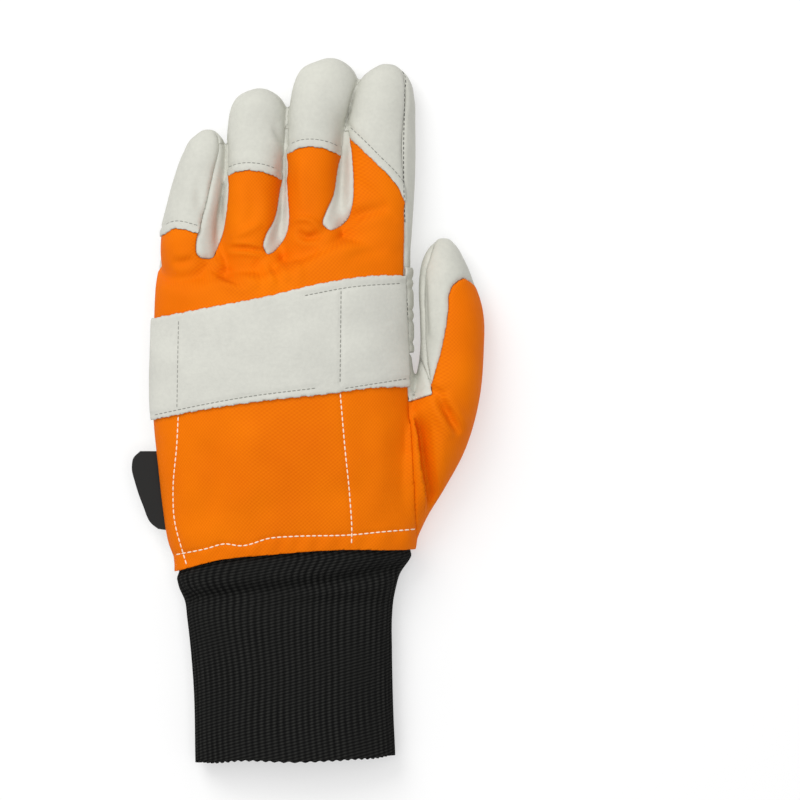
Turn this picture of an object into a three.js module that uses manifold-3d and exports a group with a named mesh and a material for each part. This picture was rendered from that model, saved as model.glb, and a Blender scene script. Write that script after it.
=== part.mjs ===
// Protective work glove for the left hand, lying palm down.
// Millimetres, +Z up, fingers along +Y, thumb towards +X, resting on z = 0.
import * as THREE from "three";
import { mergeVertices } from "three/addons/utils/BufferGeometryUtils.js";
import Module from "manifold-3d";

const wasm = await Module();
wasm.setup();

// Driving sizes
const palmWidth = 106; // across the back of the hand
const palmLength = 131; // from the cuff seam to the roots of the fingers
const fingerLength = 77.2; // middle finger, from its root
const thumbReach = 29.2; // how far the thumb stands out beside the palm
const cuffWidth = 85;
const cuffLength = 84.2;
const handThickness = 36; // of the padded hand as it lies
const fingerThickness = 24;
const wall = 2; // leather and fabric of the hand
const cuffWall = 2.6; // doubled knit
const strapThickness = 1.2;
const patchThickness = 1.2;
const labelThickness = 1.1;
const gap = 0.3; // between pieces that are sewn together
const fingerGap = 0.6; // between fingers that lie side by side
const press = 0.7; // how far the round sections are pressed flat on the surface
const mouth = 6; // how far the hollow is cut past the cuff's edge

const patchLift = patchThickness + gap;
const seamHeight = 0.32 * handThickness; // side seam of the little finger and the fingertips
const frontHeight = 0.27 * fingerThickness; // where the strips between fingers meet the fronts
const thumbSeamHeight = 0.4 * fingerThickness;
const stripReach = 0.1 * palmWidth; // the strips between fingers are looked for this far from the slot
const farAbove = 2 * handThickness;
const farAlong = 4 * palmLength;

// Plan shares: u is a share of palmWidth, past 0.5 of the thumb's reach.
// v is a share of palmLength, past 1 of fingerLength, below 0 of cuffLength.
function planX(u) {
  return u <= 0.5 ? u * palmWidth : 0.5 * palmWidth + (u - 0.5) * 2 * thumbReach;
}

function planY(v) {
  if (v < 0) return v * cuffLength;
  return v <= 1 ? v * palmLength : palmLength + (v - 1) * fingerLength;
}

function plan(points) {
  return points.map(([u, v]) => new THREE.Vector2(planX(u), planY(v)));
}

// Cuff sections: v, left and right as shares of cuffWidth, top as a share of handThickness
const cuffRows = [
  [-1.0, -0.443, 0.531, 0.58],
  [-0.62, -0.452, 0.518, 0.58],
  [-0.44, -0.466, 0.515, 0.6],
  [-0.286, -0.483, 0.515, 0.62],
  [-0.2, -0.495, 0.522, 0.6],
  [-0.138, -0.515, 0.54, 0.69],
  [-0.066, -0.534, 0.576, 0.73],
].map(([v, left, right, top]) => ({ v, left: left * cuffWidth, right: right * cuffWidth, lift: 0, top }));

// Hand sections: v, left and right as shares of palmWidth, lift off the surface by the patch, top
const palmRows = [
  [0.006, -0.442, 0.497, 0, 0.75],
  [0.048, -0.46, 0.507, 0, 0.8],
  [0.155, -0.482, 0.515, 0, 0.88],
  [0.295, -0.501, 0.518, 0, 0.96],
  [0.44, -0.519, 0.51, 0, 1.0],
  [0.592, -0.523, 0.5, 1, 1.0],
  [0.645, -0.521, 0.492, 1, 1.0],
  [0.757, -0.517, 0.489, 1, 0.98],
  [0.88, -0.51, 0.487, 1, 0.94],
  [0.985, -0.495, 0.488, 1, 0.88],
  [1.158, -0.47, 0.489, 1, 0.8],
].map(([v, left, right, lift, top]) => ({ v, left: left * palmWidth, right: right * palmWidth, lift, top }));

// Finger sections along each spine: u, v, half width as a share of palmWidth (of twice thumbReach
// for the thumb), lift, underside and top as shares of fingerThickness
const fingerRows = {
  little: [
    [-0.364, 0.84, 0.1, 1, 0.15, 1.0],
    [-0.368, 0.982, 0.125, 1, 0, 1.1],
    [-0.356, 1.158, 0.119, 0, 0, 1.0],
    [-0.337, 1.346, 0.106, 0, 0, 0.92],
    [-0.323, 1.48, 0.094, 0, 0, 0.86],
    [-0.311, 1.566, 0.069, 0, 0.08, 0.74],
    [-0.305, 1.615, 0.027, 0, 0.27, 0.52],
  ],
  ring: [
    [-0.133, 0.84, 0.1, 1, 0.15, 1.05],
    [-0.141, 0.982, 0.121, 1, 0, 1.12],
    [-0.135, 1.158, 0.121, 0, 0, 1.05],
    [-0.119, 1.507, 0.117, 0, 0, 0.96],
    [-0.114, 1.642, 0.117, 0, 0, 0.9],
    [-0.098, 1.738, 0.106, 0, 0.02, 0.84],
    [-0.082, 1.803, 0.07, 0, 0.1, 0.74],
    [-0.074, 1.835, 0.027, 0, 0.28, 0.54],
  ],
  middle: [
    [0.102, 0.86, 0.1, 1, 0.15, 1.05],
    [0.09, 0.985, 0.121, 1, 0, 1.12],
    [0.098, 1.158, 0.115, 0, 0, 1.06],
    [0.108, 1.523, 0.113, 0, 0, 0.98],
    [0.121, 1.695, 0.117, 0, 0, 0.93],
    [0.149, 1.83, 0.125, 0, 0, 0.88],
    [0.17, 1.916, 0.108, 0, 0.03, 0.82],
    [0.178, 1.969, 0.067, 0, 0.12, 0.7],
    [0.18, 2.0, 0.027, 0, 0.28, 0.54],
  ],
  index: [
    [0.321, 0.87, 0.11, 1, 0.15, 1.05],
    [0.337, 0.985, 0.147, 1, 0, 1.1],
    [0.348, 1.158, 0.149, 0, 0, 1.04],
    [0.362, 1.346, 0.143, 0, 0, 1.0],
    [0.374, 1.668, 0.133, 0, 0, 0.92],
    [0.384, 1.803, 0.121, 0, 0, 0.87],
    [0.395, 1.889, 0.096, 0, 0.03, 0.8],
    [0.399, 1.94, 0.059, 0, 0.12, 0.7],
    [0.401, 1.968, 0.027, 0, 0.28, 0.54],
  ],
  thumb: [
    [0.368, 0.095, 0.212, 0, 0, 0.8],
    [0.435, 0.184, 0.241, 0, 0, 0.95],
    [0.509, 0.285, 0.249, 0, 0, 1.06],
    [0.63, 0.393, 0.256, 0, 0, 1.14],
    [0.729, 0.523, 0.241, 0, 0, 1.16],
    [0.772, 0.665, 0.227, 0, 0, 1.12],
    [0.769, 0.776, 0.227, 0, 0, 1.08],
    [0.729, 0.874, 0.196, 0, 0, 1.0],
    [0.712, 0.944, 0.156, 0, 0.02, 0.9],
    [0.714, 0.988, 0.107, 0, 0.12, 0.74],
    [0.715, 1.031, 0.049, 0, 0.3, 0.54],
  ],
};

// Dents and folds of the upper side: u, v, reach along and across as shares of palmWidth,
// turn in degrees from +X, depth as a share of handThickness
const dents = [
  [0.56, 0.36, 0.26, 0.045, 108, 0.16],
  [0.69, 0.42, 0.12, 0.04, 122, 0.09],
  [0.08, 0.99, 0.1, 0.04, 160, 0.07],
  [-0.14, 0.86, 0.2, 0.09, 60, 0.04],
  [0.24, 0.93, 0.17, 0.07, 110, 0.05],
  [-0.33, 0.3, 0.22, 0.08, 75, 0.04],
  [0.1, 0.16, 0.3, 0.06, 10, 0.04],
].map(([u, v, along, across, turn, depth]) => ({
  x: planX(u),
  y: planY(v),
  along: along * palmWidth,
  across: across * palmWidth,
  turn: THREE.MathUtils.degToRad(turn),
  depth: depth * handThickness,
}));

// Seams in plan shares
const slots = {
  littleRing: [
    [-0.274, 1.007],
    [-0.268, 1.147],
    [-0.251, 1.292],
    [-0.235, 1.437],
    [-0.235, 1.534],
    [-0.243, 1.668],
    [-0.251, 1.937],
  ],
  ringMiddle: [
    [-0.047, 1.007],
    [-0.02, 1.147],
    [-0.01, 1.292],
    [-0.006, 1.48],
    [0.0, 1.615],
    [0.008, 1.733],
    [0.02, 1.83],
    [0.016, 2.098],
  ],
  middleIndex: [
    [0.184, 1.12],
    [0.207, 1.211],
    [0.211, 1.292],
    [0.221, 1.453],
    [0.226, 1.604],
    [0.239, 1.69],
    [0.27, 1.84],
    [0.294, 1.905],
    [0.313, 2.125],
  ],
  thumb: [
    [0.515, 0.653],
    [0.518, 0.729],
    [0.511, 0.824],
    [0.506, 0.944],
    [0.516, 1.05],
    [0.559, 1.292],
  ],
};
const stripEnds = { littleRing: 1.54, ringMiddle: 1.62, middleIndex: 1.61 };

const backOutline = [
  [-0.65, 1.883],
  [-0.29, 1.883],
  [-0.282, 1.668],
  [-0.258, 1.529],
  [-0.278, 1.389],
  [-0.329, 1.109],
  [-0.348, 1.007],
  [-0.341, 0.96],
  [-0.313, 0.95],
  [-0.282, 0.957],
  [-0.262, 0.998],
  [-0.239, 1.142],
  [-0.227, 1.453],
  [-0.231, 1.572],
  [-0.243, 1.695],
  [-0.251, 1.991],
  [0.016, 1.991],
  [0.008, 1.733],
  [-0.004, 1.588],
  [-0.022, 1.265],
  [-0.043, 1.12],
  [-0.074, 1.045],
  [-0.084, 0.988],
  [-0.067, 0.966],
  [-0.047, 0.974],
  [-0.006, 1.039],
  [0.002, 1.319],
  [0.008, 1.642],
  [0.018, 1.803],
  [0.02, 2.098],
  [0.313, 2.098],
  [0.294, 1.905],
  [0.258, 1.792],
  [0.235, 1.642],
  [0.207, 1.41],
  [0.186, 1.244],
  [0.157, 1.16],
  [0.147, 1.104],
  [0.166, 1.08],
  [0.247, 1.147],
  [0.256, 1.206],
  [0.251, 1.679],
  [0.27, 1.84],
  [0.298, 1.916],
  [0.313, 2.072],
  [0.45, 2.072],
  [0.458, 1.948],
  [0.466, 1.905],
  [0.458, 1.529],
  [0.466, 1.104],
  [0.464, 0.903],
  [0.48, 0.548],
  [0.489, 0.352],
  [0.5, 0.231],
  [0.522, 0.105],
  [0.53, 0.0],
  [0.53, -0.394],
  [-0.65, -0.394],
];
const crotch = [
  [-0.689, 0.944],
  [-0.188, 0.954],
  [-0.067, 0.966],
  [0.055, 1.007],
  [0.172, 1.085],
  [0.616, 1.099],
];
const capEdges = {
  little: [
    [-0.65, 1.023],
    [-0.484, 1.045],
    [-0.433, 1.08],
    [-0.372, 1.066],
    [-0.29, 1.02],
  ],
  ring: [
    [-0.27, 1.346],
    [-0.159, 1.392],
    [-0.094, 1.385],
    [-0.015, 1.346],
  ],
  middle: [
    [-0.003, 1.48],
    [0.076, 1.518],
    [0.141, 1.512],
    [0.215, 1.475],
  ],
  index: [
    [0.23, 1.6],
    [0.329, 1.464],
    [0.442, 1.292],
    [0.462, 1.238],
    [0.573, 1.174],
  ],
};
const frontBases = {
  ring: [
    [-0.274, 1.007],
    [-0.235, 0.992],
    [-0.161, 0.982],
    [-0.047, 0.978],
  ],
  middle: [
    [-0.047, 0.978],
    [0.055, 0.969],
    [0.125, 0.973],
    [0.18, 0.998],
  ],
};
const strapTop = [
  [-0.65, 0.745],
  [-0.364, 0.787],
  [-0.082, 0.83],
  [0.161, 0.876],
  [0.337, 0.897],
  [0.464, 0.9],
];
const strapBottom = [
  [-0.65, 0.42],
  [-0.431, 0.459],
  [-0.153, 0.497],
  [0.196, 0.529],
  [0.337, 0.545],
  [0.478, 0.548],
];
const patchTop = [
  [-0.65, 0.976],
  [-0.27, 0.96],
  [0.0, 0.944],
  [0.251, 0.931],
  [0.56, 0.925],
];
const patchBottom = [
  [-0.65, 0.724],
  [-0.27, 0.697],
  [0.0, 0.678],
  [0.251, 0.662],
  [0.56, 0.656],
];
const hem = [
  [-0.7, -0.13],
  [-0.429, -0.054],
  [-0.26, 0.003],
  [-0.055, 0.021],
  [0.2, 0.036],
  [0.423, 0.035],
  [1.5, 0.06],
];
const gusset = [
  [0.44, 0.656],
  [0.515, 0.656],
  [0.616, 0.554],
  [0.63, 0.526],
  [0.44, 0.493],
];
const thumbOrangeAbove = [
  [0.63, 0.527],
  [0.616, 0.554],
  [0.687, 0.656],
  [0.729, 0.741],
  [0.744, 0.795],
  [0.746, 0.835],
  [0.772, 0.865],
  [0.815, 0.882],
  [0.864, 0.893],
  [0.914, 0.881],
  [1.014, 0.843],
];
const thumbOrangeBelow = [
  [1.3, 0.824],
  [0.815, 0.814],
  [0.687, 0.811],
  [0.623, 0.798],
  [0.602, 0.697],
  [0.573, 0.618],
  [0.466, 0.444],
  [0.329, 0.253],
  [0.192, 0.079],
  [0.141, -0.197],
];
const thumbTipSeam = [
  [0.616, 0.554],
  [0.587, 0.618],
  [0.572, 0.691],
  [0.566, 0.855],
  [0.577, 0.919],
  [0.616, 0.976],
  [0.687, 1.104],
];
const thumbFrontSeam = [
  [0.515, 0.653],
  [0.478, 0.577],
  [0.427, 0.459],
  [0.352, 0.333],
  [0.258, 0.174],
];
const labelOutline = [
  [-0.572, 0.345],
  [-0.599, 0.323],
  [-0.605, 0.298],
  [-0.59, 0.239],
  [-0.562, 0.174],
  [-0.527, 0.114],
  [-0.501, 0.098],
  [-0.41, 0.098],
  [-0.41, 0.345],
];

// Solids from closed geometries
function solid(geometry) {
  geometry.deleteAttribute("normal");
  geometry.deleteAttribute("uv");
  const merged = mergeVertices(geometry, 1e-5);
  return new wasm.Manifold(
    new wasm.Mesh({
      numProp: 3,
      vertProperties: new Float32Array(merged.attributes.position.array),
      triVerts: new Uint32Array(merged.index.array),
    }),
  );
}

function joined(solids) {
  return solids.reduce((whole, next) => whole.add(next));
}

// Rings of equal count, joined ring to ring and closed by a fan at each end
function loft(rings) {
  const count = rings[0].length;
  const centres = [rings[0], rings[rings.length - 1]].map((ring) =>
    ring.reduce((sum, point) => sum.clone().add(point), new THREE.Vector3()).divideScalar(count),
  );
  const positions = [...rings.flat(), ...centres].flatMap((point) => point.toArray());
  const first = rings.length * count;
  const last = (rings.length - 1) * count;
  const faces = [];
  for (let k = 0; k < count; k++) {
    const next = (k + 1) % count;
    for (let r = 0; r < rings.length - 1; r++) {
      const here = r * count;
      faces.push(here + k, here + count + k, here + next);
      faces.push(here + next, here + count + k, here + count + next);
    }
    faces.push(first, k, next);
    faces.push(first + 1, last + next, last + k);
  }
  const geometry = new THREE.BufferGeometry();
  geometry.setAttribute("position", new THREE.Float32BufferAttribute(positions, 3));
  geometry.setIndex(faces);
  return solid(geometry);
}

// The given number of evenly spaced rows, on a smooth curve through each column
function spread(rows, count) {
  const columns = Object.keys(rows[0]).map((key) => {
    const curve = new THREE.SplineCurve(rows.map((row, i) => new THREE.Vector2(i, row[key])));
    return [key, curve];
  });
  return Array.from({ length: count }, (_, i) =>
    Object.fromEntries(columns.map(([key, curve]) => [key, curve.getPoint(i / (count - 1)).y])),
  );
}

function dentDepth(x, y) {
  return dents.reduce((sum, dent) => {
    const along = (x - dent.x) * Math.cos(dent.turn) + (y - dent.y) * Math.sin(dent.turn);
    const across = (y - dent.y) * Math.cos(dent.turn) - (x - dent.x) * Math.sin(dent.turn);
    return sum + dent.depth * Math.exp(-((along / dent.along) ** 2) - (across / dent.across) ** 2);
  }, 0);
}

// One section: a rounded oval between under and over, pressed flat where it rests
const topRound = 2.2;
const bottomRound = 2.9;
const widestAt = 0.42;

function section({ x, y, across, half, under, over, rest, sides }) {
  const middle = under + (over - under) * widestAt;
  return Array.from({ length: sides }, (_, k) => {
    const angle = (2 * Math.PI * k) / sides;
    const sine = Math.sin(angle);
    const power = 2 / (sine > 0 ? topRound : bottomRound);
    const out = Math.sign(Math.cos(angle)) * Math.abs(Math.cos(angle)) ** power * half;
    const rise = Math.abs(sine) ** power;
    const px = x + across.x * out;
    const py = y + across.y * out;
    const height = sine > 0 ? over - middle - dentDepth(px, py) : under - middle;
    return new THREE.Vector3(px, py, Math.max(middle + rise * height, rest));
  });
}

// Height of the flattened underside, lifted where the palm patch lies under it
function restHeight(lift, offset) {
  return Math.max(THREE.MathUtils.clamp(lift, 0, 1) * patchLift - offset, 0);
}

// The hand and cuff as one tube, grown outwards by offset
const bodySides = { outer: 24, inner: 16 };
const bodyStations = [...cuffRows, ...spread(palmRows, 12)];

function bodyForm(offset) {
  const rings = bodyStations.map(({ v, left, right, lift, top }, i) => {
    const open = i === 0 && offset < 0 ? mouth : 0;
    const rest = restHeight(lift, offset);
    return section({
      x: (left + right) / 2,
      y: planY(v) - open,
      across: new THREE.Vector2(1, 0),
      half: (right - left) / 2 + offset,
      under: rest - press,
      over: top * handThickness + offset,
      rest,
      sides: offset < 0 ? bodySides.inner : bodySides.outer,
    });
  });
  return loft(rings);
}

// One finger or the thumb, whose last sections move out with the offset at the tip
const fingerSides = { outer: 14, inner: 10 };
const tipShare = [1, 0.7, 0.4];
const narrowest = 0.3;

function fingerForm(name, offset) {
  const rows = fingerRows[name];
  const points = plan(rows);
  const width = name === "thumb" ? 2 * thumbReach : palmWidth;
  const rings = rows.map(([, , half, lift, under, over], i) => {
    const before = points[Math.max(i - 1, 0)];
    const after = points[Math.min(i + 1, rows.length - 1)];
    const along = after.clone().sub(before).normalize();
    const push = (tipShare[rows.length - 1 - i] ?? 0) * offset;
    const rest = restHeight(lift, offset);
    return section({
      x: points[i].x + along.x * push,
      y: points[i].y + along.y * push,
      across: new THREE.Vector2(along.y, -along.x),
      half: Math.max(half * width + offset, narrowest),
      under: Math.max(under * fingerThickness - offset, rest) - (under > 0 ? 0 : press),
      over: over * fingerThickness + offset,
      rest,
      sides: offset < 0 ? fingerSides.inner : fingerSides.outer,
    });
  });
  return loft(rings);
}

// Regions in plan, as outlines with a range of heights
function grownOutline(points, grow) {
  const turn = THREE.ShapeUtils.isClockWise(points) ? -1 : 1;
  const mitre = 2;
  return points.map((point, i) => {
    const before = points[(i + points.length - 1) % points.length];
    const after = points[(i + 1) % points.length];
    const inTo = point.clone().sub(before).normalize();
    const outOf = after.clone().sub(point).normalize();
    const normal = new THREE.Vector2(inTo.y + outOf.y, -inTo.x - outOf.x).normalize();
    const share = Math.max(normal.x * inTo.y - normal.y * inTo.x, 1 / mitre);
    return point.clone().addScaledVector(normal, (turn * grow) / share);
  });
}

function prism({ outline, low = -farAbove, high = farAbove }, grow = 0) {
  const shape = new THREE.Shape(grownOutline(outline, grow));
  const depth = high - low + 2 * grow;
  const geometry = new THREE.ExtrudeGeometry(shape, { depth, bevelEnabled: false });
  geometry.translate(0, 0, low - grow);
  return solid(geometry);
}

// A band along a line, grown to each side and back past its start
function ribbon(line, half, back) {
  const start = line[0].clone().sub(line[1]).normalize().multiplyScalar(back).add(line[0]);
  const points = [start, ...line.slice(1)];
  const sides = points.map((point, i) => {
    const before = points[Math.max(i - 1, 0)];
    const after = points[Math.min(i + 1, points.length - 1)];
    const along = after.clone().sub(before).normalize();
    return new THREE.Vector2(along.y, -along.x).multiplyScalar(half);
  });
  const right = points.map((point, i) => point.clone().add(sides[i]));
  const left = points.map((point, i) => point.clone().sub(sides[i]));
  return [...right, ...left.reverse()];
}

// Everything beyond a line that runs from -X to +X, moved along Y
function beyond(line, shift, side) {
  const far = side * farAlong;
  const moved = line.map((point) => new THREE.Vector2(point.x, point.y + shift));
  const first = new THREE.Vector2(moved[0].x, far);
  const last = new THREE.Vector2(moved[moved.length - 1].x, far);
  return [first, ...moved, last];
}

// The whole hand, grown by offset: the palm up to the roots, the fingers and the thumb
const fingerNames = ["little", "ring", "middle", "index"];

function palmForm(offset) {
  const roots = prism({ outline: beyond(plan(crotch), offset, 1) });
  const body = bodyForm(offset).subtract(roots);
  return joined([body, ...fingerNames.map((name) => fingerForm(name, offset))]);
}

function handForm(offset) {
  const cuts = Object.values(slots).map((line) =>
    prism({ outline: ribbon(plan(line), fingerGap / 2 - offset, -offset) }),
  );
  return palmForm(offset).add(fingerForm("thumb", offset)).subtract(joined(cuts));
}

// A second layer over the hand, clear of the thumb
function overlay(thickness) {
  const thumb = fingerForm("thumb", gap);
  return palmForm(gap + thickness).subtract(palmForm(gap)).subtract(thumb);
}

// Regions of the panels
function upTo(line, limit) {
  return line.filter(([, v]) => v <= limit);
}

function between(lowLine, highLine) {
  return plan([...lowLine, ...[...highLine].reverse()]);
}

const backRegion = { outline: plan(backOutline), low: seamHeight };
const handRegion = { outline: beyond(plan(hem), gap / 2, 1) };
const cuffRegion = { outline: beyond(plan(hem), -gap / 2, -1) };
const strapRegion = { outline: between(strapBottom, strapTop), low: seamHeight + gap };
const patchRegion = { outline: between(patchBottom, patchTop) };
const gussetRegion = { outline: plan(gusset), low: seamHeight };
const labelRegion = {
  outline: plan(labelOutline),
  low: seamHeight - labelThickness / 2,
  high: seamHeight + labelThickness / 2,
};

function stripRegion(name) {
  const line = plan(upTo(slots[name], stripEnds[name]));
  return { outline: ribbon(line, stripReach, stripReach), low: frontHeight };
}

// Plan shares that lie clear of the glove on each side
const farLeft = -0.65;
const farRight = 1.3;
const farUp = 1.4;
const farDown = -0.5;
const beyondTips = 2.2;
const beyondIndex = 0.573;
const outside = { little: [[farLeft, beyondTips]], index: [[beyondIndex, beyondTips]] };
const neighbours = {
  little: [outside.little, slots.littleRing],
  ring: [slots.littleRing, slots.ringMiddle],
  middle: [slots.ringMiddle, slots.middleIndex],
  index: [slots.middleIndex, outside.index],
};

// Above an edge that crosses one finger, between the lines on its two sides
function fingerRegion(name, edge, low) {
  const [leftLine, rightLine] = neighbours[name];
  const start = edge[0][1];
  const end = edge[edge.length - 1][1];
  const right = rightLine.filter(([, v]) => v > end);
  const left = leftLine.filter(([, v]) => v > start).reverse();
  return { outline: plan([...edge, ...right, ...left]), low };
}

const thumbCapRegion = {
  outline: plan([...thumbTipSeam, [farRight, farUp], ...[...thumbOrangeAbove.slice(1)].reverse()]),
  low: thumbSeamHeight,
};
const thumbHeel = 0.4; // u inside the root of the thumb
const webFoot = 0.5; // v just under the web
const [, orangeShoulder] = thumbOrangeAbove[thumbOrangeAbove.length - 1];
const thumbBackAbove = {
  outline: plan([
    [thumbHeel, webFoot],
    ...thumbOrangeAbove,
    [farRight, orangeShoulder],
    [farRight, farDown],
    [thumbHeel, farDown],
  ]),
  low: thumbSeamHeight - gap,
};
const thumbBackBelow = {
  outline: plan([...thumbOrangeBelow, [farRight, farDown]]),
  high: thumbSeamHeight,
};
const thumbFrontEnd = [farRight, 0.1];
const thumbFrontRegion = {
  outline: plan([
    ...[...slots.thumb].reverse(),
    ...thumbFrontSeam.slice(1),
    thumbFrontEnd,
    [farRight, farUp],
  ]),
};

// Taking the panels out of the shell one after another, each leaving its seam gap
let shell = handForm(0).subtract(handForm(-wall)).intersect(prism(handRegion));

function take(...regions) {
  const piece = shell.intersect(joined(regions.map((region) => prism(region))));
  shell = shell.subtract(joined(regions.map((region) => prism(region, gap))));
  return piece;
}

function largest(piece) {
  return piece.decompose().reduce((best, part) => (part.volume() > best.volume() ? part : best));
}

let back = take(backRegion);
const caps = {};
for (const name of fingerNames) {
  const region = fingerRegion(name, capEdges[name], seamHeight - gap);
  caps[name] = back.intersect(prism(region));
  back = back.subtract(prism(region, gap));
}
const littleRingStrip = take(stripRegion("littleRing"));
const ringMiddleStrip = take(stripRegion("ringMiddle"));
const middleIndexStrip = take(stripRegion("middleIndex"));
const webGusset = take(gussetRegion);
const thumbCap = take(thumbCapRegion);
const thumbBack = take(thumbBackAbove, thumbBackBelow);
const thumbFront = take(thumbFrontRegion);
const ringFront = take(fingerRegion("ring", frontBases.ring));
const middleFront = take(fingerRegion("middle", frontBases.middle));

const strap = overlay(strapThickness).intersect(prism(strapRegion)).intersect(prism(backRegion));
const patch = overlay(patchThickness).intersect(prism(patchRegion)).subtract(prism(backRegion, gap));
const cuff = bodyForm(0).subtract(bodyForm(-cuffWall)).intersect(prism(cuffRegion));
const label = prism(labelRegion).subtract(bodyForm(gap));

// Finishes
const leather = { color: 0xd9dad3, roughness: 0.62, metalness: 0 };
const fabric = { color: 0xf07800, roughness: 0.72, metalness: 0 };
const knit = { color: 0x1c1c1b, roughness: 0.9, metalness: 0 };
const tape = { color: 0x1b1c1b, roughness: 0.6, metalness: 0 };

const pieces = [
  ["back_panel", back, fabric],
  ["knuckle_strap", strap, leather],
  ["little_cap", caps.little, leather],
  ["ring_cap", caps.ring, leather],
  ["middle_cap", caps.middle, leather],
  ["index_cap", caps.index, leather],
  ["palm_panel", shell, leather],
  ["ring_front", ringFront, leather],
  ["middle_front", middleFront, leather],
  ["little_ring_fourchette", littleRingStrip, leather],
  ["ring_middle_fourchette", ringMiddleStrip, leather],
  ["middle_index_fourchette", middleIndexStrip, leather],
  ["palm_patch", patch, leather],
  ["thumb_back", thumbBack, fabric],
  ["thumb_front", thumbFront, leather],
  ["thumb_cap", thumbCap, leather],
  ["web_gusset", webGusset, leather],
  ["knit_cuff", cuff, knit],
  ["side_label", label, tape],
];

// The glove's own box sets the origin: middle of its base
const glove = new THREE.Group();
const box = new THREE.Box3();
for (const [name, piece, finish] of pieces) {
  const { numProp, vertProperties, triVerts } = largest(piece).getMesh();
  const geometry = new THREE.BufferGeometry();
  geometry.setAttribute("position", new THREE.BufferAttribute(vertProperties, numProp));
  geometry.setIndex(new THREE.BufferAttribute(triVerts, 1));
  geometry.computeBoundingBox();
  box.union(geometry.boundingBox);
  const mesh = new THREE.Mesh(geometry, new THREE.MeshStandardMaterial(finish));
  mesh.name = name;
  glove.add(mesh);
}
const centre = box.getCenter(new THREE.Vector3());
glove.position.set(-centre.x, -centre.y, -box.min.z);

export default glove;
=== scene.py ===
# Left work glove lying palm down: goat leather and orange fabric over a rib-knit cuff.
# The surfaces are worked out in plan millimetres, with the fingers along +Y and the thumb
# towards +X, and are then placed in the frame in metres.
import math

import bmesh
import bpy
import numpy as np
from mathutils import Matrix, Vector
from mathutils.bvhtree import BVHTree
from mathutils.kdtree import KDTree


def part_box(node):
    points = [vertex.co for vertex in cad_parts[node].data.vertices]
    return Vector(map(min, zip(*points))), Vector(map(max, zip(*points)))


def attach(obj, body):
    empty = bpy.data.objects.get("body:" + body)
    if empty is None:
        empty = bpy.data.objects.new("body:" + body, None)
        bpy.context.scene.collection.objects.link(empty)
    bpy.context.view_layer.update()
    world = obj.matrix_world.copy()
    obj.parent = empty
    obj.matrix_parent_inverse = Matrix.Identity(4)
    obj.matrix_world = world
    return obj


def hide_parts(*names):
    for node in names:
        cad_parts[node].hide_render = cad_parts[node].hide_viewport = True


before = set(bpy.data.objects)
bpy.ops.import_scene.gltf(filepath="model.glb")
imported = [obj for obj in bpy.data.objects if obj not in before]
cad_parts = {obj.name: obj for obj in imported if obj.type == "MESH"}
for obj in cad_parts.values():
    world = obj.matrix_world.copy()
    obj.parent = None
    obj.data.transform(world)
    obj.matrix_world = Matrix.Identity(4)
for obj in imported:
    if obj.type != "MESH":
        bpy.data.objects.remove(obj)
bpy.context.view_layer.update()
bpy.context.scene.view_settings.view_transform = "Standard"

# Sizes of the hand in millimetres. The rounding powers, the height of the widest place and the
# tables below are shares
hand = {
    "palmWidth": 106.0,
    "palmLength": 131.0,
    "fingerLength": 77.2,
    "thumbReach": 29.2,
    "cuffWidth": 85.0,
    "cuffLength": 84.2,
    "thickness": 36.0,
    "fingerThickness": 24.0,
    "patchLift": 1.5,
    "topRound": 2.2,
    "bottomRound": 2.9,
    "widestAt": 0.42,
    "press": 0.7,
    "fingerGap": 0.5,
    "voxel": 0.9,
}
photo = {"scale": 0.415, "originX": 286, "originY": 560}  # mm for a pixel, the plan's origin in it
labelReach = 0.605  # how far left the side label stands, as a share of the palm's width
seamHeight = 0.32 * hand["thickness"]
frontHeight = 0.27 * hand["fingerThickness"]
thumbSeamHeight = 0.4 * hand["fingerThickness"]
origin = np.array([
    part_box("side_label")[0].x * 1000 + labelReach * hand["palmWidth"],
    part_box("knit_cuff")[0].y * 1000 + hand["cuffLength"],
    0.0,
])
toFrame = Matrix.Scale(0.001, 4) @ Matrix.Translation(Vector(origin))


def planX(u):
    u = np.asarray(u, float)
    beyond = 0.5 * hand["palmWidth"] + (u - 0.5) * 2 * hand["thumbReach"]
    return np.where(u <= 0.5, u * hand["palmWidth"], beyond)


def planY(v):
    v = np.asarray(v, float)
    finger = hand["palmLength"] + (v - 1) * hand["fingerLength"]
    inHand = np.where(v <= 1, v * hand["palmLength"], finger)
    return np.where(v < 0, v * hand["cuffLength"], inHand)


def plan(points):
    points = np.array(points, float)
    return np.column_stack([planX(points[:, 0]), planY(points[:, 1])])


def fromPhoto(points):
    # pixels of the photograph to plan millimetres
    points = np.array(points, float)
    x = (points[:, 0] - photo["originX"]) * photo["scale"]
    y = (photo["originY"] - points[:, 1]) * photo["scale"]
    return np.column_stack([x, y])


def through(points, step):
    # a smooth curve through the rows, sampled at even steps of its first two columns
    points = np.array(points, float)
    gaps = np.hypot(*np.diff(points[:, :2], axis=0).T)
    at = np.concatenate([[0], np.cumsum(gaps)])
    slope = np.diff(points, axis=0) / gaps[:, None]
    tangent = np.empty_like(points)
    tangent[0] = slope[0]
    tangent[-1] = slope[-1]
    weighted = gaps[1:, None] * slope[:-1] + gaps[:-1, None] * slope[1:]
    tangent[1:-1] = weighted / (gaps[1:] + gaps[:-1])[:, None]
    s = np.linspace(0, at[-1], max(2, int(round(at[-1] / step)) + 1))
    k = np.clip(np.searchsorted(at, s, side="right") - 1, 0, len(gaps) - 1)
    f = ((s - at[k]) / gaps[k])[:, None]
    reach = gaps[k][:, None]
    start = (2 * f**3 - 3 * f**2 + 1) * points[k] + (f**3 - 2 * f**2 + f) * reach * tangent[k]
    return start + (3 * f**2 - 2 * f**3) * points[k + 1] + (f**3 - f**2) * reach * tangent[k + 1]


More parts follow.
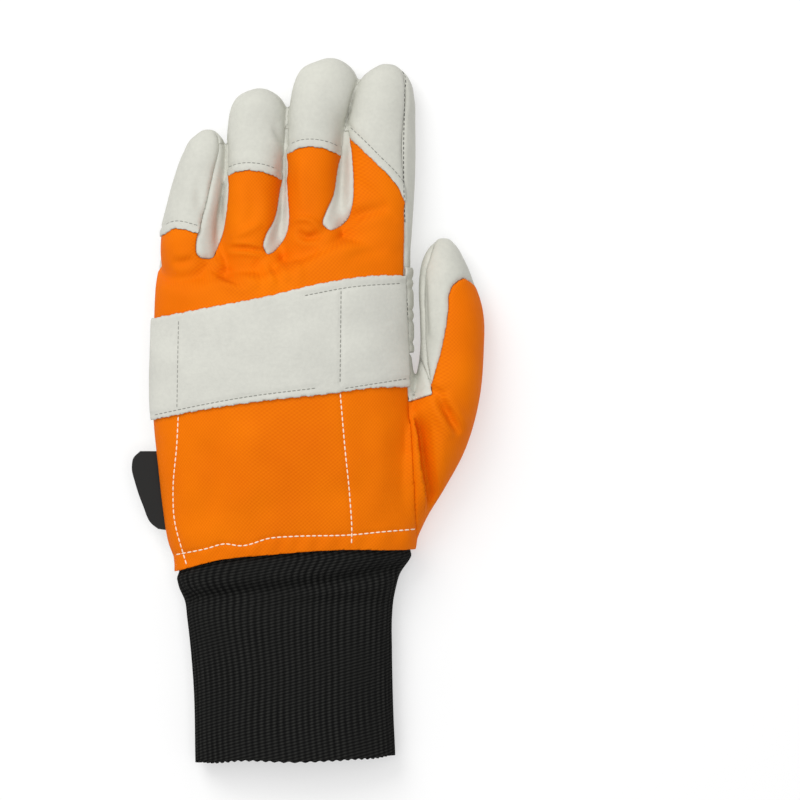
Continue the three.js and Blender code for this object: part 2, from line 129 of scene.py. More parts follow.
# Cuff sections: v, left and right as shares of the cuff's width, top as a share of the thickness
cuffRows = [
    [-1.0, -0.443, 0.531, 0.58],
    [-0.62, -0.452, 0.518, 0.58],
    [-0.44, -0.466, 0.515, 0.6],
    [-0.286, -0.483, 0.515, 0.62],
    [-0.2, -0.495, 0.522, 0.6],
    [-0.138, -0.521, 0.534, 0.69],
    [-0.066, -0.537, 0.555, 0.73],
]

# Hand sections: v, left and right as shares of the palm's width, lift by the patch, top
palmRows = [
    [0.006, -0.442, 0.485, 0, 0.75],
    [0.048, -0.46, 0.507, 0, 0.8],
    [0.155, -0.482, 0.515, 0, 0.88],
    [0.295, -0.501, 0.518, 0, 0.96],
    [0.44, -0.519, 0.51, 0, 1.0],
    [0.592, -0.523, 0.5, 1, 1.0],
    [0.645, -0.521, 0.492, 1, 1.0],
    [0.757, -0.517, 0.489, 1, 0.98],
    [0.88, -0.51, 0.487, 1, 0.94],
    [0.985, -0.495, 0.488, 1, 0.88],
    [1.158, -0.47, 0.489, 1, 0.8],
]

# Finger sections along each spine: u, v, half width as a share of the palm's width (of twice the
# thumb's reach for the thumb), lift, underside and top as shares of the finger's thickness
fingerRows = {
    "little": [
        [-0.364, 0.84, 0.1, 1, 0.15, 1.0],
        [-0.368, 0.982, 0.125, 1, 0, 1.1],
        [-0.356, 1.158, 0.119, 0, 0, 1.0],
        [-0.335, 1.346, 0.105, 0, 0, 0.92],
        [-0.318, 1.48, 0.087, 0, 0, 0.86],
        [-0.307, 1.566, 0.063, 0, 0.08, 0.74],
        [-0.305, 1.615, 0.025, 0, 0.27, 0.52],
    ],
    "ring": [
        [-0.133, 0.84, 0.1, 1, 0.15, 1.05],
        [-0.141, 0.982, 0.121, 1, 0, 1.12],
        [-0.135, 1.158, 0.121, 0, 0, 1.05],
        [-0.119, 1.507, 0.117, 0, 0, 0.96],
        [-0.111, 1.642, 0.118, 0, 0, 0.9],
        [-0.107, 1.715, 0.113, 0, 0.01, 0.86],
        [-0.103, 1.771, 0.097, 0, 0.04, 0.81],
        [-0.101, 1.797, 0.081, 0, 0.08, 0.77],
        [-0.1, 1.817, 0.057, 0, 0.16, 0.7],
        [-0.099, 1.837, 0.023, 0, 0.28, 0.54],
    ],
    "middle": [
        [0.102, 0.86, 0.1, 1, 0.15, 1.05],
        [0.09, 0.985, 0.121, 1, 0, 1.12],
        [0.098, 1.158, 0.115, 0, 0, 1.06],
        [0.108, 1.523, 0.113, 0, 0, 0.98],
        [0.121, 1.695, 0.117, 0, 0, 0.93],
        [0.155, 1.83, 0.128, 0, 0, 0.88],
        [0.167, 1.905, 0.117, 0, 0.02, 0.83],
        [0.172, 1.947, 0.096, 0, 0.06, 0.77],
        [0.174, 1.982, 0.056, 0, 0.16, 0.66],
        [0.174, 2.0, 0.024, 0, 0.28, 0.54],
    ],
    "index": [
        [0.321, 0.87, 0.11, 1, 0.15, 1.05],
        [0.337, 0.985, 0.147, 1, 0, 1.1],
        [0.348, 1.158, 0.149, 0, 0, 1.04],
        [0.362, 1.346, 0.143, 0, 0, 1.0],
        [0.374, 1.668, 0.133, 0, 0, 0.92],
        [0.384, 1.803, 0.121, 0, 0, 0.87],
        [0.395, 1.889, 0.096, 0, 0.03, 0.8],
        [0.399, 1.94, 0.059, 0, 0.12, 0.7],
        [0.401, 1.968, 0.027, 0, 0.28, 0.54],
    ],
    "thumb": [
        [0.388, 0.03, 0.184, 0, 0, 0.74],
        [0.4, 0.1, 0.222, 0, 0, 0.84],
        [0.435, 0.184, 0.241, 0, 0, 0.95],
        [0.509, 0.285, 0.249, 0, 0, 1.06],
        [0.63, 0.393, 0.256, 0, 0, 1.14],
        [0.729, 0.523, 0.241, 0, 0, 1.16],
        [0.772, 0.665, 0.227, 0, 0, 1.12],
        [0.769, 0.776, 0.227, 0, 0, 1.08],
        [0.729, 0.874, 0.196, 0, 0, 1.0],
        [0.712, 0.944, 0.156, 0, 0.02, 0.9],
        [0.714, 0.988, 0.107, 0, 0.12, 0.74],
        [0.715, 1.031, 0.049, 0, 0.3, 0.54],
    ],
}

# Seams in plan shares
slots = {
    "littleRing": [
        [-0.274, 1.007], [-0.268, 1.147], [-0.251, 1.292], [-0.235, 1.437],
        [-0.235, 1.534], [-0.243, 1.668], [-0.251, 1.937],
    ],
    "ringMiddle": [
        [-0.047, 1.007], [-0.02, 1.147], [-0.01, 1.292], [-0.006, 1.48],
        [0.0, 1.615], [0.008, 1.733], [0.02, 1.83], [0.016, 2.098],
    ],
    "middleIndex": [
        [0.184, 1.12], [0.207, 1.211], [0.211, 1.292], [0.221, 1.453], [0.226, 1.604],
        [0.239, 1.69], [0.27, 1.84], [0.294, 1.905], [0.313, 2.125],
    ],
    "thumb": [
        [0.515, 0.653], [0.518, 0.729], [0.511, 0.824], [0.506, 0.944], [0.516, 1.05],
        [0.559, 1.292],
    ],
}
fingerSlots = ["littleRing", "ringMiddle", "middleIndex"]
slotsBeside = {  # the slots at the left and the right of each finger
    "little": (None, "littleRing"),
    "ring": ("littleRing", "ringMiddle"),
    "middle": ("ringMiddle", "middleIndex"),
    "index": ("middleIndex", None),
    "thumb": (None, None),
}
stripEnds = {"littleRing": 1.54, "ringMiddle": 1.62, "middleIndex": 1.61}
backOutline = [
    [-0.65, 1.883], [-0.29, 1.883], [-0.282, 1.668], [-0.258, 1.529], [-0.278, 1.389],
    [-0.329, 1.109], [-0.348, 1.007], [-0.341, 0.96], [-0.313, 0.95], [-0.282, 0.957],
    [-0.262, 0.998], [-0.239, 1.142], [-0.227, 1.453], [-0.231, 1.572], [-0.243, 1.695],
    [-0.251, 1.991], [0.016, 1.991], [0.008, 1.733], [-0.004, 1.588], [-0.022, 1.265],
    [-0.043, 1.12], [-0.074, 1.045], [-0.084, 0.988], [-0.067, 0.966], [-0.047, 0.974],
    [-0.006, 1.039], [0.002, 1.319], [0.008, 1.642], [0.018, 1.803], [0.02, 2.098],
    [0.313, 2.098], [0.294, 1.905], [0.258, 1.792], [0.235, 1.642], [0.207, 1.41],
    [0.186, 1.244], [0.157, 1.16], [0.147, 1.104], [0.166, 1.08], [0.247, 1.147],
    [0.256, 1.206], [0.251, 1.679], [0.27, 1.84], [0.298, 1.916], [0.313, 2.072],
    [0.45, 2.072], [0.458, 1.948], [0.466, 1.905], [0.458, 1.529], [0.466, 1.104],
    [0.464, 0.903], [0.48, 0.548], [0.489, 0.352], [0.5, 0.231], [0.522, 0.105],
    [0.53, 0.0], [0.53, -0.394], [-0.65, -0.394],
]
crotch = [
    [-0.689, 0.944], [-0.188, 0.954], [-0.067, 0.966], [0.055, 1.007], [0.172, 1.085], [0.616, 1.099],
]
capEdges = {
    "little": [[-0.65, 1.023], [-0.484, 1.045], [-0.433, 1.08], [-0.372, 1.066], [-0.29, 1.02]],
    "ring": [[-0.27, 1.346], [-0.159, 1.392], [-0.094, 1.385], [-0.015, 1.346]],
    "middle": [[-0.003, 1.48], [0.076, 1.518], [0.141, 1.512], [0.215, 1.475]],
    "index": [[0.23, 1.6], [0.329, 1.464], [0.442, 1.292], [0.462, 1.238], [0.573, 1.174]],
}
frontBases = {
    "ring": [[-0.274, 1.007], [-0.235, 0.992], [-0.161, 0.982], [-0.047, 0.978]],
    "middle": [[-0.047, 0.978], [0.055, 0.969], [0.125, 0.973], [0.18, 0.998]],
}
strapTop = [
    [-0.65, 0.745], [-0.364, 0.787], [-0.082, 0.83], [0.161, 0.876], [0.337, 0.897], [0.464, 0.9],
]
strapBottom = [
    [-0.65, 0.42], [-0.431, 0.459], [-0.153, 0.497], [0.196, 0.529], [0.337, 0.545], [0.478, 0.548],
]
patchTop = [[-0.65, 0.976], [-0.27, 0.96], [0.0, 0.944], [0.251, 0.931], [0.56, 0.925]]
patchBottom = [[-0.65, 0.724], [-0.27, 0.697], [0.0, 0.678], [0.251, 0.662], [0.56, 0.656]]
hem = [
    [-0.7, -0.13], [-0.429, -0.054], [-0.26, 0.003], [-0.055, 0.021], [0.2, 0.036],
    [0.423, 0.035], [1.5, 0.06],
]
gusset = [[0.44, 0.656], [0.515, 0.656], [0.616, 0.554], [0.63, 0.526], [0.44, 0.493]]
thumbOrangeAbove = [
    [0.63, 0.527], [0.616, 0.554], [0.687, 0.656], [0.729, 0.741], [0.744, 0.795], [0.746, 0.835],
    [0.772, 0.865], [0.815, 0.882], [0.864, 0.893], [0.914, 0.881], [1.014, 0.843],
]
thumbOrangeBelow = [
    [1.3, 0.824], [0.815, 0.814], [0.687, 0.811], [0.623, 0.798], [0.602, 0.697], [0.573, 0.618],
    [0.466, 0.444], [0.329, 0.253], [0.192, 0.079], [0.141, -0.197],
]
thumbTipSeam = [
    [0.616, 0.554], [0.587, 0.618], [0.572, 0.691], [0.566, 0.855], [0.577, 0.919],
    [0.616, 0.976], [0.687, 1.104],
]
thumbFrontSeam = [[0.478, 0.577], [0.427, 0.459], [0.352, 0.333], [0.258, 0.174]]

lineStep = 1.5
slotLines = {name: through(plan(line), lineStep) for name, line in slots.items()}


def heightOf(line, x):
    # y of a line that runs from -X to +X
    return np.interp(x, line[:, 0], line[:, 1])


def besideOf(line, y):
    # x of a line that runs along Y
    return np.interp(y, line[:, 1], line[:, 0])


def smooth(low, high, value):
    share = np.clip((value - low) / (high - low), 0, 1)
    return share * share * (3 - 2 * share)


def insideOutline(xy, outline):
    # distance to a closed outline, above 0 inside it
    nearest = np.full(len(xy), np.inf)
    inside = np.zeros(len(xy), bool)
    x, y = xy[:, 0], xy[:, 1]
    for (ax, ay), (bx, by) in zip(outline, np.roll(outline, -1, axis=0)):
        ex, ey = bx - ax, by - ay
        span = ex * ex + ey * ey
        if span < 1e-9:
            continue
        share = np.clip(((x - ax) * ex + (y - ay) * ey) / span, 0, 1)
        nearest = np.minimum(nearest, (x - ax - share * ex) ** 2 + (y - ay - share * ey) ** 2)
        if ay != by:
            inside ^= ((ay > y) != (by > y)) & (x < ex * (y - ay) / (by - ay) + ax)
    return np.where(inside, 1, -1) * np.sqrt(nearest)


def distanceTo(xy, line):
    # distance to an open line and the share of its length at the nearest point
    nearest = np.full(len(xy), np.inf)
    share = np.zeros(len(xy))
    lengths = np.hypot(*np.diff(line[:, :2], axis=0).T)
    starts = np.concatenate([[0], np.cumsum(lengths)])
    for i, length in enumerate(lengths):
        a = line[i, :2]
        along = (line[i + 1, :2] - a) / length
        at = np.clip((xy - a) @ along, 0, length)
        gap = np.hypot(*(xy - a - at[:, None] * along).T)
        closer = gap < nearest
        nearest[closer] = gap[closer]
        share[closer] = (starts[i] + at[closer]) / starts[-1]
    return nearest, share


def nearestOf(co, lines):
    # distance to the nearest of a few lines
    return np.min([distanceTo(co[:, :2], line)[0] for line in lines], axis=0)


def ridge(distance, width):
    # 1 on a line, fading out softly on both sides of it
    return np.exp(-((distance / width) ** 2))


def turnIn(rim, width):
    # 1 at the rim of a panel, 0 from the width inwards
    return np.clip(1 - rim / width, 0, 1) ** 2


# Forms of the hand as closed tubes of rounded oval sections
def ovalRings(x, y, across, half, under, over, rest, sides):
    angle = 2 * np.pi * np.arange(sides) / sides
    sine, cosine = np.sin(angle), np.cos(angle)
    power = np.where(sine > 0, 2 / hand["topRound"], 2 / hand["bottomRound"])
    out = np.sign(cosine) * np.abs(cosine) ** power
    rise = np.abs(sine) ** power
    middle = under + (over - under) * hand["widestAt"]
    height = np.where(sine > 0, (over - middle)[:, None], (under - middle)[:, None])
    px = x[:, None] + across[:, :1] * half[:, None] * out
    py = y[:, None] + across[:, 1:] * half[:, None] * out
    pz = np.maximum(middle[:, None] + rise * height, rest[:, None])
    return np.stack([px, py, pz], axis=-1)


def restHeight(lift, offset):
    return np.maximum(np.clip(lift, 0, 1) * hand["patchLift"] - offset, 0)


def bodyRings(rows, offset, sides):
    # rows hold the centre, y, half width, lift and top
    x, y, half, lift, top = rows.T
    rest = restHeight(lift, offset)
    across = np.tile([1.0, 0.0], (len(rows), 1))
    over = top * hand["thickness"] + offset
    return ovalRings(x, y, across, half + offset, rest - hand["press"], over, rest, sides)


def fingerRings(name, offset, sides, step):
    rows = np.array(fingerRows[name])
    width = 2 * hand["thumbReach"] if name == "thumb" else hand["palmWidth"]
    spine = plan(rows[:, :2])
    table = through(np.column_stack([spine, rows[:, 2] * width, rows[:, 3:]]), step)
    x, y, half, lift, under, over = table.T
    along = np.gradient(table[:, :2], axis=0)
    along /= np.hypot(*along.T)[:, None]
    across = np.column_stack([along[:, 1], -along[:, 0]])
    rest = restHeight(lift, offset)
    press = np.where(under > 0.01, 0, hand["press"])
    low = np.maximum(under * hand["fingerThickness"] - offset, rest) - press
    high = over * hand["fingerThickness"] + offset
    return ovalRings(x, y, across, np.maximum(half + offset, 0.5), low, high, rest, sides)


def addTube(bm, rings):
    # a grid is wrapped into the tube, joined along its side and closed at both ends
    stations, sides = rings.shape[:2]
    made = bmesh.ops.create_grid(bm, x_segments=sides, y_segments=stations - 1, size=1)["verts"]
    points = np.concatenate([rings, rings[:, :1]], axis=1).reshape(-1, 3)
    for vert, point in zip(made, points):
        vert.co = point
    bmesh.ops.remove_doubles(bm, verts=made, dist=1e-4)
    ends = [edge for edge in bm.edges if edge.is_boundary]
    filled = bmesh.ops.holes_fill(bm, edges=ends, sides=0)["faces"]
    bmesh.ops.triangulate(bm, faces=filled)


def meshObject(name, bm):
    mesh = bpy.data.meshes.new(name)
    bm.to_mesh(mesh)
    bm.free()
    made = bpy.data.objects.new(name, mesh)
    bpy.context.scene.collection.objects.link(made)
    return made


def finishPiece(name, bm, material, wall=0.0, isSmooth=lambda face: True):
    # sets a piece in the frame, with its material and its wall in millimetres
    bmesh.ops.transform(bm, matrix=toFrame, verts=bm.verts)
    for face in bm.faces:
        face.smooth = isSmooth(face)
    made = meshObject(name, bm)
    made.data.materials.append(material)
    if wall:
        solid = made.modifiers.new("wall", "SOLIDIFY")
        solid.thickness = wall / 1000
        solid.offset = -1
    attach(made, "root")
    return made


def applyModifiers(made):
    evaluated = made.evaluated_get(bpy.context.evaluated_depsgraph_get())
    mesh = bpy.data.meshes.new_from_object(evaluated)
    made.modifiers.clear()
    made.data = mesh


def readVectors(items, key):
    flat = np.empty(len(items) * 3)
    items.foreach_get(key, flat)
    return flat.reshape(-1, 3)


# The hand's outer skin: palm, fingers and thumb run together, a little thin, then grown back.
# Lengths are in millimetres, and the crotch is where two fingers part
skin = {
    "thin": 0.45,
    "bodySides": 72,
    "fingerSides": 48,
    "step": 1.5,
    "crotchSlope": 11.0,
    "crotchDrop": 0.72,
    "smoothing": 14,
    "crotchSmoothing": 30,
    "crotchReach": 9.0,
    "crotchPoints": 6,
}


def sections(cuff, palm, step):
    # centre, y, half width, lift and top along the body
    rows = [(v, left, right, 0, top, hand["cuffWidth"]) for v, left, right, top in cuff]
    rows += [(*row, hand["palmWidth"]) for row in palm]
    return through([
        [(left + right) / 2 * width, planY(v), (right - left) / 2 * width, lift, top]
        for v, left, right, lift, top, width in rows
    ], step)


crotchLine = through(plan(crotch), lineStep)
webLevels = [  # millimetres past the crotch along the slot, half width, top
    [-13, 3.0, 28.0], [-9, 6.0, 28.0], [-4, 6.6, 26.0], [0, 6.0, 23.5], [6, 5.4, 19.5], [14, 5.2, 16.0],
    [26, 5.2, 13.5], [44, 5.0, 11.5], [46, 3.0, 9.0],
]
web = {"floor": 4.0, "start": 24, "sides": 24}  # its start lies this far before the slot


def webRings(name):
    # the soft floor between two fingers, high at the crotch and low towards the tips
    line = slotLines[name]
    table = through(webLevels, skin["step"])
    start = line[0] - (line[2] - line[0]) / np.linalg.norm(line[2] - line[0]) * web["start"]
    path = np.vstack([start, line])
    before = line[0, 1] - heightOf(crotchLine, line[0, 0])
    lengths = np.hypot(*np.diff(path, axis=0).T)
    along = np.concatenate([[0], np.cumsum(lengths)]) - web["start"] + before
    x = np.interp(table[:, 0], along, path[:, 0])
    y = np.interp(table[:, 0], along, path[:, 1])
    across = np.tile([1.0, 0.0], (len(table), 1))
    under = np.full(len(table), web["floor"])
    return ovalRings(x, y, across, table[:, 1], under, table[:, 2], under, web["sides"])


def handSkin():
    bm = bmesh.new()
    offset = -skin["thin"]
    body = bodyRings(sections(cuffRows[4:], palmRows, skin["step"]), offset, skin["bodySides"])
    end = heightOf(crotchLine, body[..., 0])
    drop = skin["crotchDrop"] * smooth(-skin["crotchSlope"], 2, body[..., 1] - end)
    body[..., 1] = np.minimum(body[..., 1], end + 2)
    underside = body[..., 2].min(axis=1, keepdims=True)
    body[..., 2] = np.maximum(body[..., 2] * (1 - drop), underside)
    addTube(bm, body)
    for name in fingerSlots:
        addTube(bm, webRings(name))
    clear = skin["thin"] + hand["fingerGap"] / 2
    for name, (left, right) in slotsBeside.items():
        rings = fingerRings(name, offset, skin["fingerSides"], skin["step"])
        if left:
            rings[..., 0] = np.maximum(rings[..., 0], besideOf(slotLines[left], rings[..., 1]) + clear)
        if right:
            rings[..., 0] = np.minimum(rings[..., 0], besideOf(slotLines[right], rings[..., 1]) - clear)
        addTube(bm, rings)
    bmesh.ops.recalc_face_normals(bm, faces=bm.faces)
    made = meshObject("handSkin", bm)
    remesh = made.modifiers.new("remesh", "REMESH")
    remesh.mode = "VOXEL"
    remesh.voxel_size = hand["voxel"]
    applyModifiers(made)
    co = readVectors(made.data.vertices, "co")
    gap = nearestOf(co, [slotLines[name][:skin["crotchPoints"]] for name in fingerSlots])
    near = made.vertex_groups.new(name="crotch")
    for index in np.nonzero(gap < skin["crotchReach"])[0]:
        near.add([int(index)], float(smooth(skin["crotchReach"], 0, gap[index])), "REPLACE")
    for group, rounds in (("", skin["smoothing"]), ("crotch", skin["crotchSmoothing"])):
        ease = made.modifiers.new("ease", "SMOOTH")
        ease.factor = 0.5
        ease.iterations = rounds
        ease.vertex_group = group
    applyModifiers(made)
    return made


skinObject = handSkin()
print("hand skin:", len(skinObject.data.polygons), "faces")

# Folds, creases and dents of the upper side, from the photograph
creases = [  # line in the photograph, depth, width and height of the lips beside it in millimetres
    [[[228, 249], [246, 249], [267, 253]], 1.6, 1.0, 1.0],
    [[[231, 240], [247, 232], [262, 224]], -1.4, 1.8, 0],
    [[[289, 225], [299, 220], [316, 225], [322, 235]], -1.7, 1.5, 0],
    [[[296, 232], [308, 238], [321, 234]], 2.0, 1.5, 0.6],
    [[[268, 262], [275, 270], [282, 286]], 0.9, 1.6, 0.6],
    [[[205, 266], [224, 274], [249, 288]], 1.0, 1.6, 0.7],
    [[[196, 259], [184, 263], [172, 262]], 0.9, 1.6, 0.5],
    [[[331, 230], [350, 219], [390, 207]], 1.2, 2.2, 0.6],
    [[[288, 256], [298, 266], [300, 286]], -0.7, 2.3, 0],
    [[[254, 262], [262, 274], [262, 294]], 0.8, 2.4, 0.4],
    [[[352, 176], [372, 196], [398, 222]], 0.7, 2.8, 0.4],
    [[[304, 158], [301, 180], [306, 212]], -0.7, 2.4, 0],
    [[[250, 184], [254, 210], [246, 236]], 0.6, 2.6, 0.4],
    [[[345, 262], [362, 254], [388, 250]], 0.6, 2.4, 0.3],
    [[[168, 282], [186, 286], [210, 282]], 0.6, 2.4, 0.3],
    [[[437, 396], [447, 412], [460, 434]], 3.0, 1.8, 1.3],
    [[[427, 385], [436, 392], [446, 396]], 1.2, 1.8, 0.5],
    [[[423, 272], [424, 300], [426, 340]], 1.1, 1.3, 0.4],
    [[[273, 126], [279, 136], [286, 147]], 0.6, 1.4, 0.4],
    [[[196, 180], [200, 196], [199, 214]], 0.8, 2.2, 0.4],
    [[[248, 420], [252, 470], [246, 530]], -0.7, 5.0, 0],
    [[[376, 396], [382, 450], [376, 520]], -0.7, 4.5, 0],
    [[[205, 440], [214, 480], [206, 530]], 0.5, 4.0, 0.2],
]
dents = [  # centre in the photograph, reach along and across in millimetres, turn from +X, depth
    [286, 300, 60, 22, 8, 0.6],
    [212, 276, 16, 7, 150, 0.4],
    [292, 262, 14, 7, 60, 0.5],
    [366, 250, 15, 7, 110, 0.8],
    [215, 470, 20, 8, 75, 0.5],
    [310, 500, 26, 6, 10, 0.5],
]
thumbFold = {  # a fold that hangs over: across it in millimetres, and how far the surface moves
    "line": [[411, 408], [414, 430], [418, 465], [423, 497], [424, 520]],
    "across": [-4, -1.3, 0.1, 0.8, 1.6, 2.6, 4.5, 7.5, 11],
    "shift": [0, 1.4, 1.5, -3.0, -7.0, -8.0, -5.5, -1.5, 0],
    "lean": [0, 0.6, 1.3, 0.5, 0, 0, 0, 0, 0],
    "ends": 0.25,
    "upward": (0, 0.15),
    "height": (10, 21),  # it fades out downwards between these heights
}
waves = [  # length in millimetres, direction in degrees, start and height of the cloth's soft waves
    [31, 20, 0.4, 0.16], [23, 75, 1.9, 0.12], [17, 130, 3.1, 0.08], [12, 48, 5.0, 0.05],
]
stitchLines = {  # in the photograph
    "left": [[179.6, 416], [178, 445], [174, 488], [175, 519], [183, 551], [187.6, 566.5]],
    "right": [[340.7, 393], [345.5, 449], [350, 495], [352, 536], [351.4, 547]],
    "bottom": [
        [170, 555.6], [207, 548], [226, 543], [241, 545], [272, 537], [293.5, 535.5], [352, 534],
        [384.5, 531], [418, 528.7],
    ],
}
orangeLines = [fromPhoto(line) for line in stitchLines.values()]
palmCreases = [  # of the underside, drawn in the same frame: line, depth and width
    [[[205, 188], [222, 193]], 0.5, 1.3],
    [[[226, 168], [250, 163], [280, 168]], 0.5, 1.4],
    [[[286, 158], [312, 150], [340, 156]], 0.5, 1.4],
    [[[348, 160], [380, 152], [412, 158]], 0.5, 1.4],
    [[[350, 205], [380, 212], [408, 205]], 0.4, 1.6],
    [[[290, 205], [310, 214], [332, 204]], 0.4, 1.6],
    [[[230, 214], [252, 220], [276, 212]], 0.4, 1.6],
    [[[352, 232], [376, 240], [404, 238]], 0.4, 1.2],
    [[[400, 372], [360, 400], [340, 450], [338, 510]], 0.5, 2.2],
    [[[180, 372], [240, 384], [320, 380]], 0.35, 2.0],
    [[[190, 430], [220, 470], [228, 520]], 0.35, 2.4],
]
sculpt = {  # how steep a surface takes the folds, and how they fade out towards their ends
    "upward": (0.05, 0.5),
    "downward": (0.5, 0.9),
    "taper": 0.7,
    "palmTaper": 0.6,
    "lipWidth": 1.3,
}
pucker = {  # the cloth drawn in by a stitch line, and its waves above the hem, in millimetres
    "depth": 0.35,
    "width": 0.9,
    "wave": 0.35,
    "length": 9.0,
    "uneven": 2.5,
    "unevenLength": 11,
    "below": 3,
    "reach": 3.5,
}


def sculpted(co, normal):
    upward = smooth(*sculpt["upward"], normal[:, 2])
    shift = np.zeros(len(co))
    for line, depth, width, lip in creases:
        near, share = distanceTo(co[:, :2], through(fromPhoto(line), lineStep))
        taper = np.clip(np.sin(np.pi * share), 0, 1) ** sculpt["taper"]
        shift -= depth * ridge(near, width) * taper
        shift += lip * ridge(near - 2 * width, sculpt["lipWidth"] * width) * taper
    for px, py, along, across, turn, depth in dents:
        offset = co[:, :2] - fromPhoto([[px, py]])
        cosine, sine = math.cos(math.radians(turn)), math.sin(math.radians(turn))
        lengthwise = (offset[:, 0] * cosine + offset[:, 1] * sine) / along
        sideways = (offset[:, 1] * cosine - offset[:, 0] * sine) / across
        shift -= depth * np.exp(-(lengthwise**2) - sideways**2)
    fold = through(fromPhoto(thumbFold["line"]), lineStep)
    near, share = distanceTo(co[:, :2], fold)
    side = np.sign(co[:, 0] - besideOf(fold[::-1], co[:, 1]))
    taper = smooth(0, thumbFold["ends"], share) * smooth(1, 1 - thumbFold["ends"], share)
    taper *= smooth(*thumbFold["upward"], normal[:, 2]) * smooth(*thumbFold["height"], co[:, 2])
    sunk = np.interp(near * side, thumbFold["across"], thumbFold["shift"]) * taper
    lean = np.interp(near * side, thumbFold["across"], thumbFold["lean"]) * taper
    for length, turn, start, height in waves:
        turned = co[:, 0] * math.cos(math.radians(turn)) + co[:, 1] * math.sin(math.radians(turn))
        shift += height * np.sin(2 * np.pi * turned / length + start)
    for line in orangeLines:
        near, _ = distanceTo(co[:, :2], through(line, lineStep))
        shift -= pucker["depth"] * ridge(near, pucker["width"])
    bottom = heightOf(through(orangeLines[2], lineStep), co[:, 0]) - co[:, 1]
    along = co[:, 0] + pucker["uneven"] * np.sin(co[:, 0] / pucker["unevenLength"])
    window = ridge(bottom - pucker["below"], pucker["reach"])
    shift += pucker["wave"] * window * np.sin(2 * np.pi * along / pucker["length"])
    shift *= upward
    downward = smooth(*sculpt["downward"], -normal[:, 2])
    for line, depth, width in palmCreases:
        near, share = distanceTo(co[:, :2], through(fromPhoto(line), lineStep))
        taper = np.clip(np.sin(np.pi * share), 0, 1) ** sculpt["palmTaper"]
        shift -= depth * ridge(near, width) * taper * downward
    moved = co + normal * shift[:, None]
    moved[:, 0] += lean
    moved[:, 2] += sunk
    return moved


def shapeSkin(made):
    mesh = made.data
    normal = readVectors(mesh.vertex_normals, "vector")
    grown = readVectors(mesh.vertices, "co") + normal * skin["thin"]
    grown = sculpted(grown, normal)
    grown[:, 2] = np.maximum(grown[:, 2], 0)
    mesh.vertices.foreach_set("co", grown.ravel())
    mesh.update()


shapeSkin(skinObject)


# Plan fields, above 0 inside a region
planReach = {"x": (-80, 90), "y": (-30, 225), "cell": 0.8}


def gridField(outline):
    cell = planReach["cell"]
    xs = np.arange(*planReach["x"], cell)
    ys = np.arange(*planReach["y"], cell)
    px, py = np.meshgrid(xs, ys)
    table = insideOutline(np.column_stack([px.ravel(), py.ravel()]), outline).reshape(px.shape)

    def look(xy):
        fx = np.clip((xy[:, 0] - xs[0]) / cell, 0, len(xs) - 1.001)
        fy = np.clip((xy[:, 1] - ys[0]) / cell, 0, len(ys) - 1.001)
        ix, iy = fx.astype(int), fy.astype(int)
        tx, ty = fx - ix, fy - iy
        low = table[iy, ix] * (1 - tx) + table[iy, ix + 1] * tx
        high = table[iy + 1, ix] * (1 - tx) + table[iy + 1, ix + 1] * tx
        return low * (1 - ty) + high * ty

    return look


def closedCurve(points):
    return through(np.vstack([plan(points), plan(points[:1])]), 2.0)


inBack = gridField(closedCurve(backOutline))
inGusset = gridField(plan(gusset))
farRight, farUp, farDown, thumbHeel = 1.3, 1.4, -0.5, 0.4
inThumbCap = gridField(plan([*thumbTipSeam, [farRight, farUp], *thumbOrangeAbove[:0:-1]]))
inThumbAbove = gridField(plan([
    [thumbHeel, 0.5], *thumbOrangeAbove, [farRight, thumbOrangeAbove[-1][1]],
    [farRight, farDown], [thumbHeel, farDown],
]))
inThumbBelow = gridField(plan([*thumbOrangeBelow, [farRight, farDown]]))
inThumbFront = gridField(plan([
    *slots["thumb"][::-1], *thumbFrontSeam, [farRight, 0.1], [farRight, farUp],
]))
ragged = {"height": 0.16, "lengths": (1.9, 5.3), "step": 0.5}


def cutEdge(points, start):
    # a scissor-cut edge of leather isn't quite even
    line = through(plan(points), ragged["step"])
    for length in ragged["lengths"]:
        line[:, 1] += ragged["height"] * np.sin(2 * np.pi * line[:, 0] / length + start)
    return line


lines = {name: cutEdge(line, number) for number, (name, line) in enumerate(capEdges.items())}
lines.update({name + "Base": through(plan(line), lineStep) for name, line in frontBases.items()})
lines["hem"] = through(plan(hem), lineStep)
lines["strapTop"] = cutEdge(strapTop, 4)
lines["strapBottom"] = cutEdge(strapBottom, 5)
lines["patchTop"] = through(plan(patchTop), lineStep)
lines["patchBottom"] = through(plan(patchBottom), lineStep)


def betweenSlots(co, name):
    left, right = slotsBeside[name]
    field = np.full(len(co), 1e3)
    if left:
        field = np.minimum(field, co[:, 0] - besideOf(slotLines[left], co[:, 1]))
    if right:
        field = np.minimum(field, besideOf(slotLines[right], co[:, 1]) - co[:, 0])
    return field


littleSeam = {"drop": 3.5, "x": (-38, -46), "y": (104, 116)}


def backField(co):
    # the seam runs along the side, lower beside the little finger
    lower = littleSeam["drop"] * smooth(*littleSeam["x"], co[:, 0]) * smooth(*littleSeam["y"], co[:, 1])
    return np.minimum(inBack(co), co[:, 2] - seamHeight + lower)


def capField(name):
    def field(co):
        beyond = co[:, 1] - heightOf(lines[name], co[:, 0])
        return np.minimum.reduce([beyond, backField(co), betweenSlots(co, name)])
    return field


def stripField(name):
    line = slotLines[name]
    end = planY(stripEnds[name])
    reach = 0.1 * hand["palmWidth"]

    def field(co):
        beside = reach - np.abs(co[:, 0] - besideOf(line, co[:, 1]))
        within = np.minimum(co[:, 1] - line[0, 1] + reach, end - co[:, 1])
        return np.minimum.reduce([beside, within, co[:, 2] - frontHeight])
    return field


def frontField(name):
    def field(co):
        beyond = co[:, 1] - heightOf(lines[name + "Base"], co[:, 0])
        return np.minimum(beyond, betweenSlots(co, name))
    return field


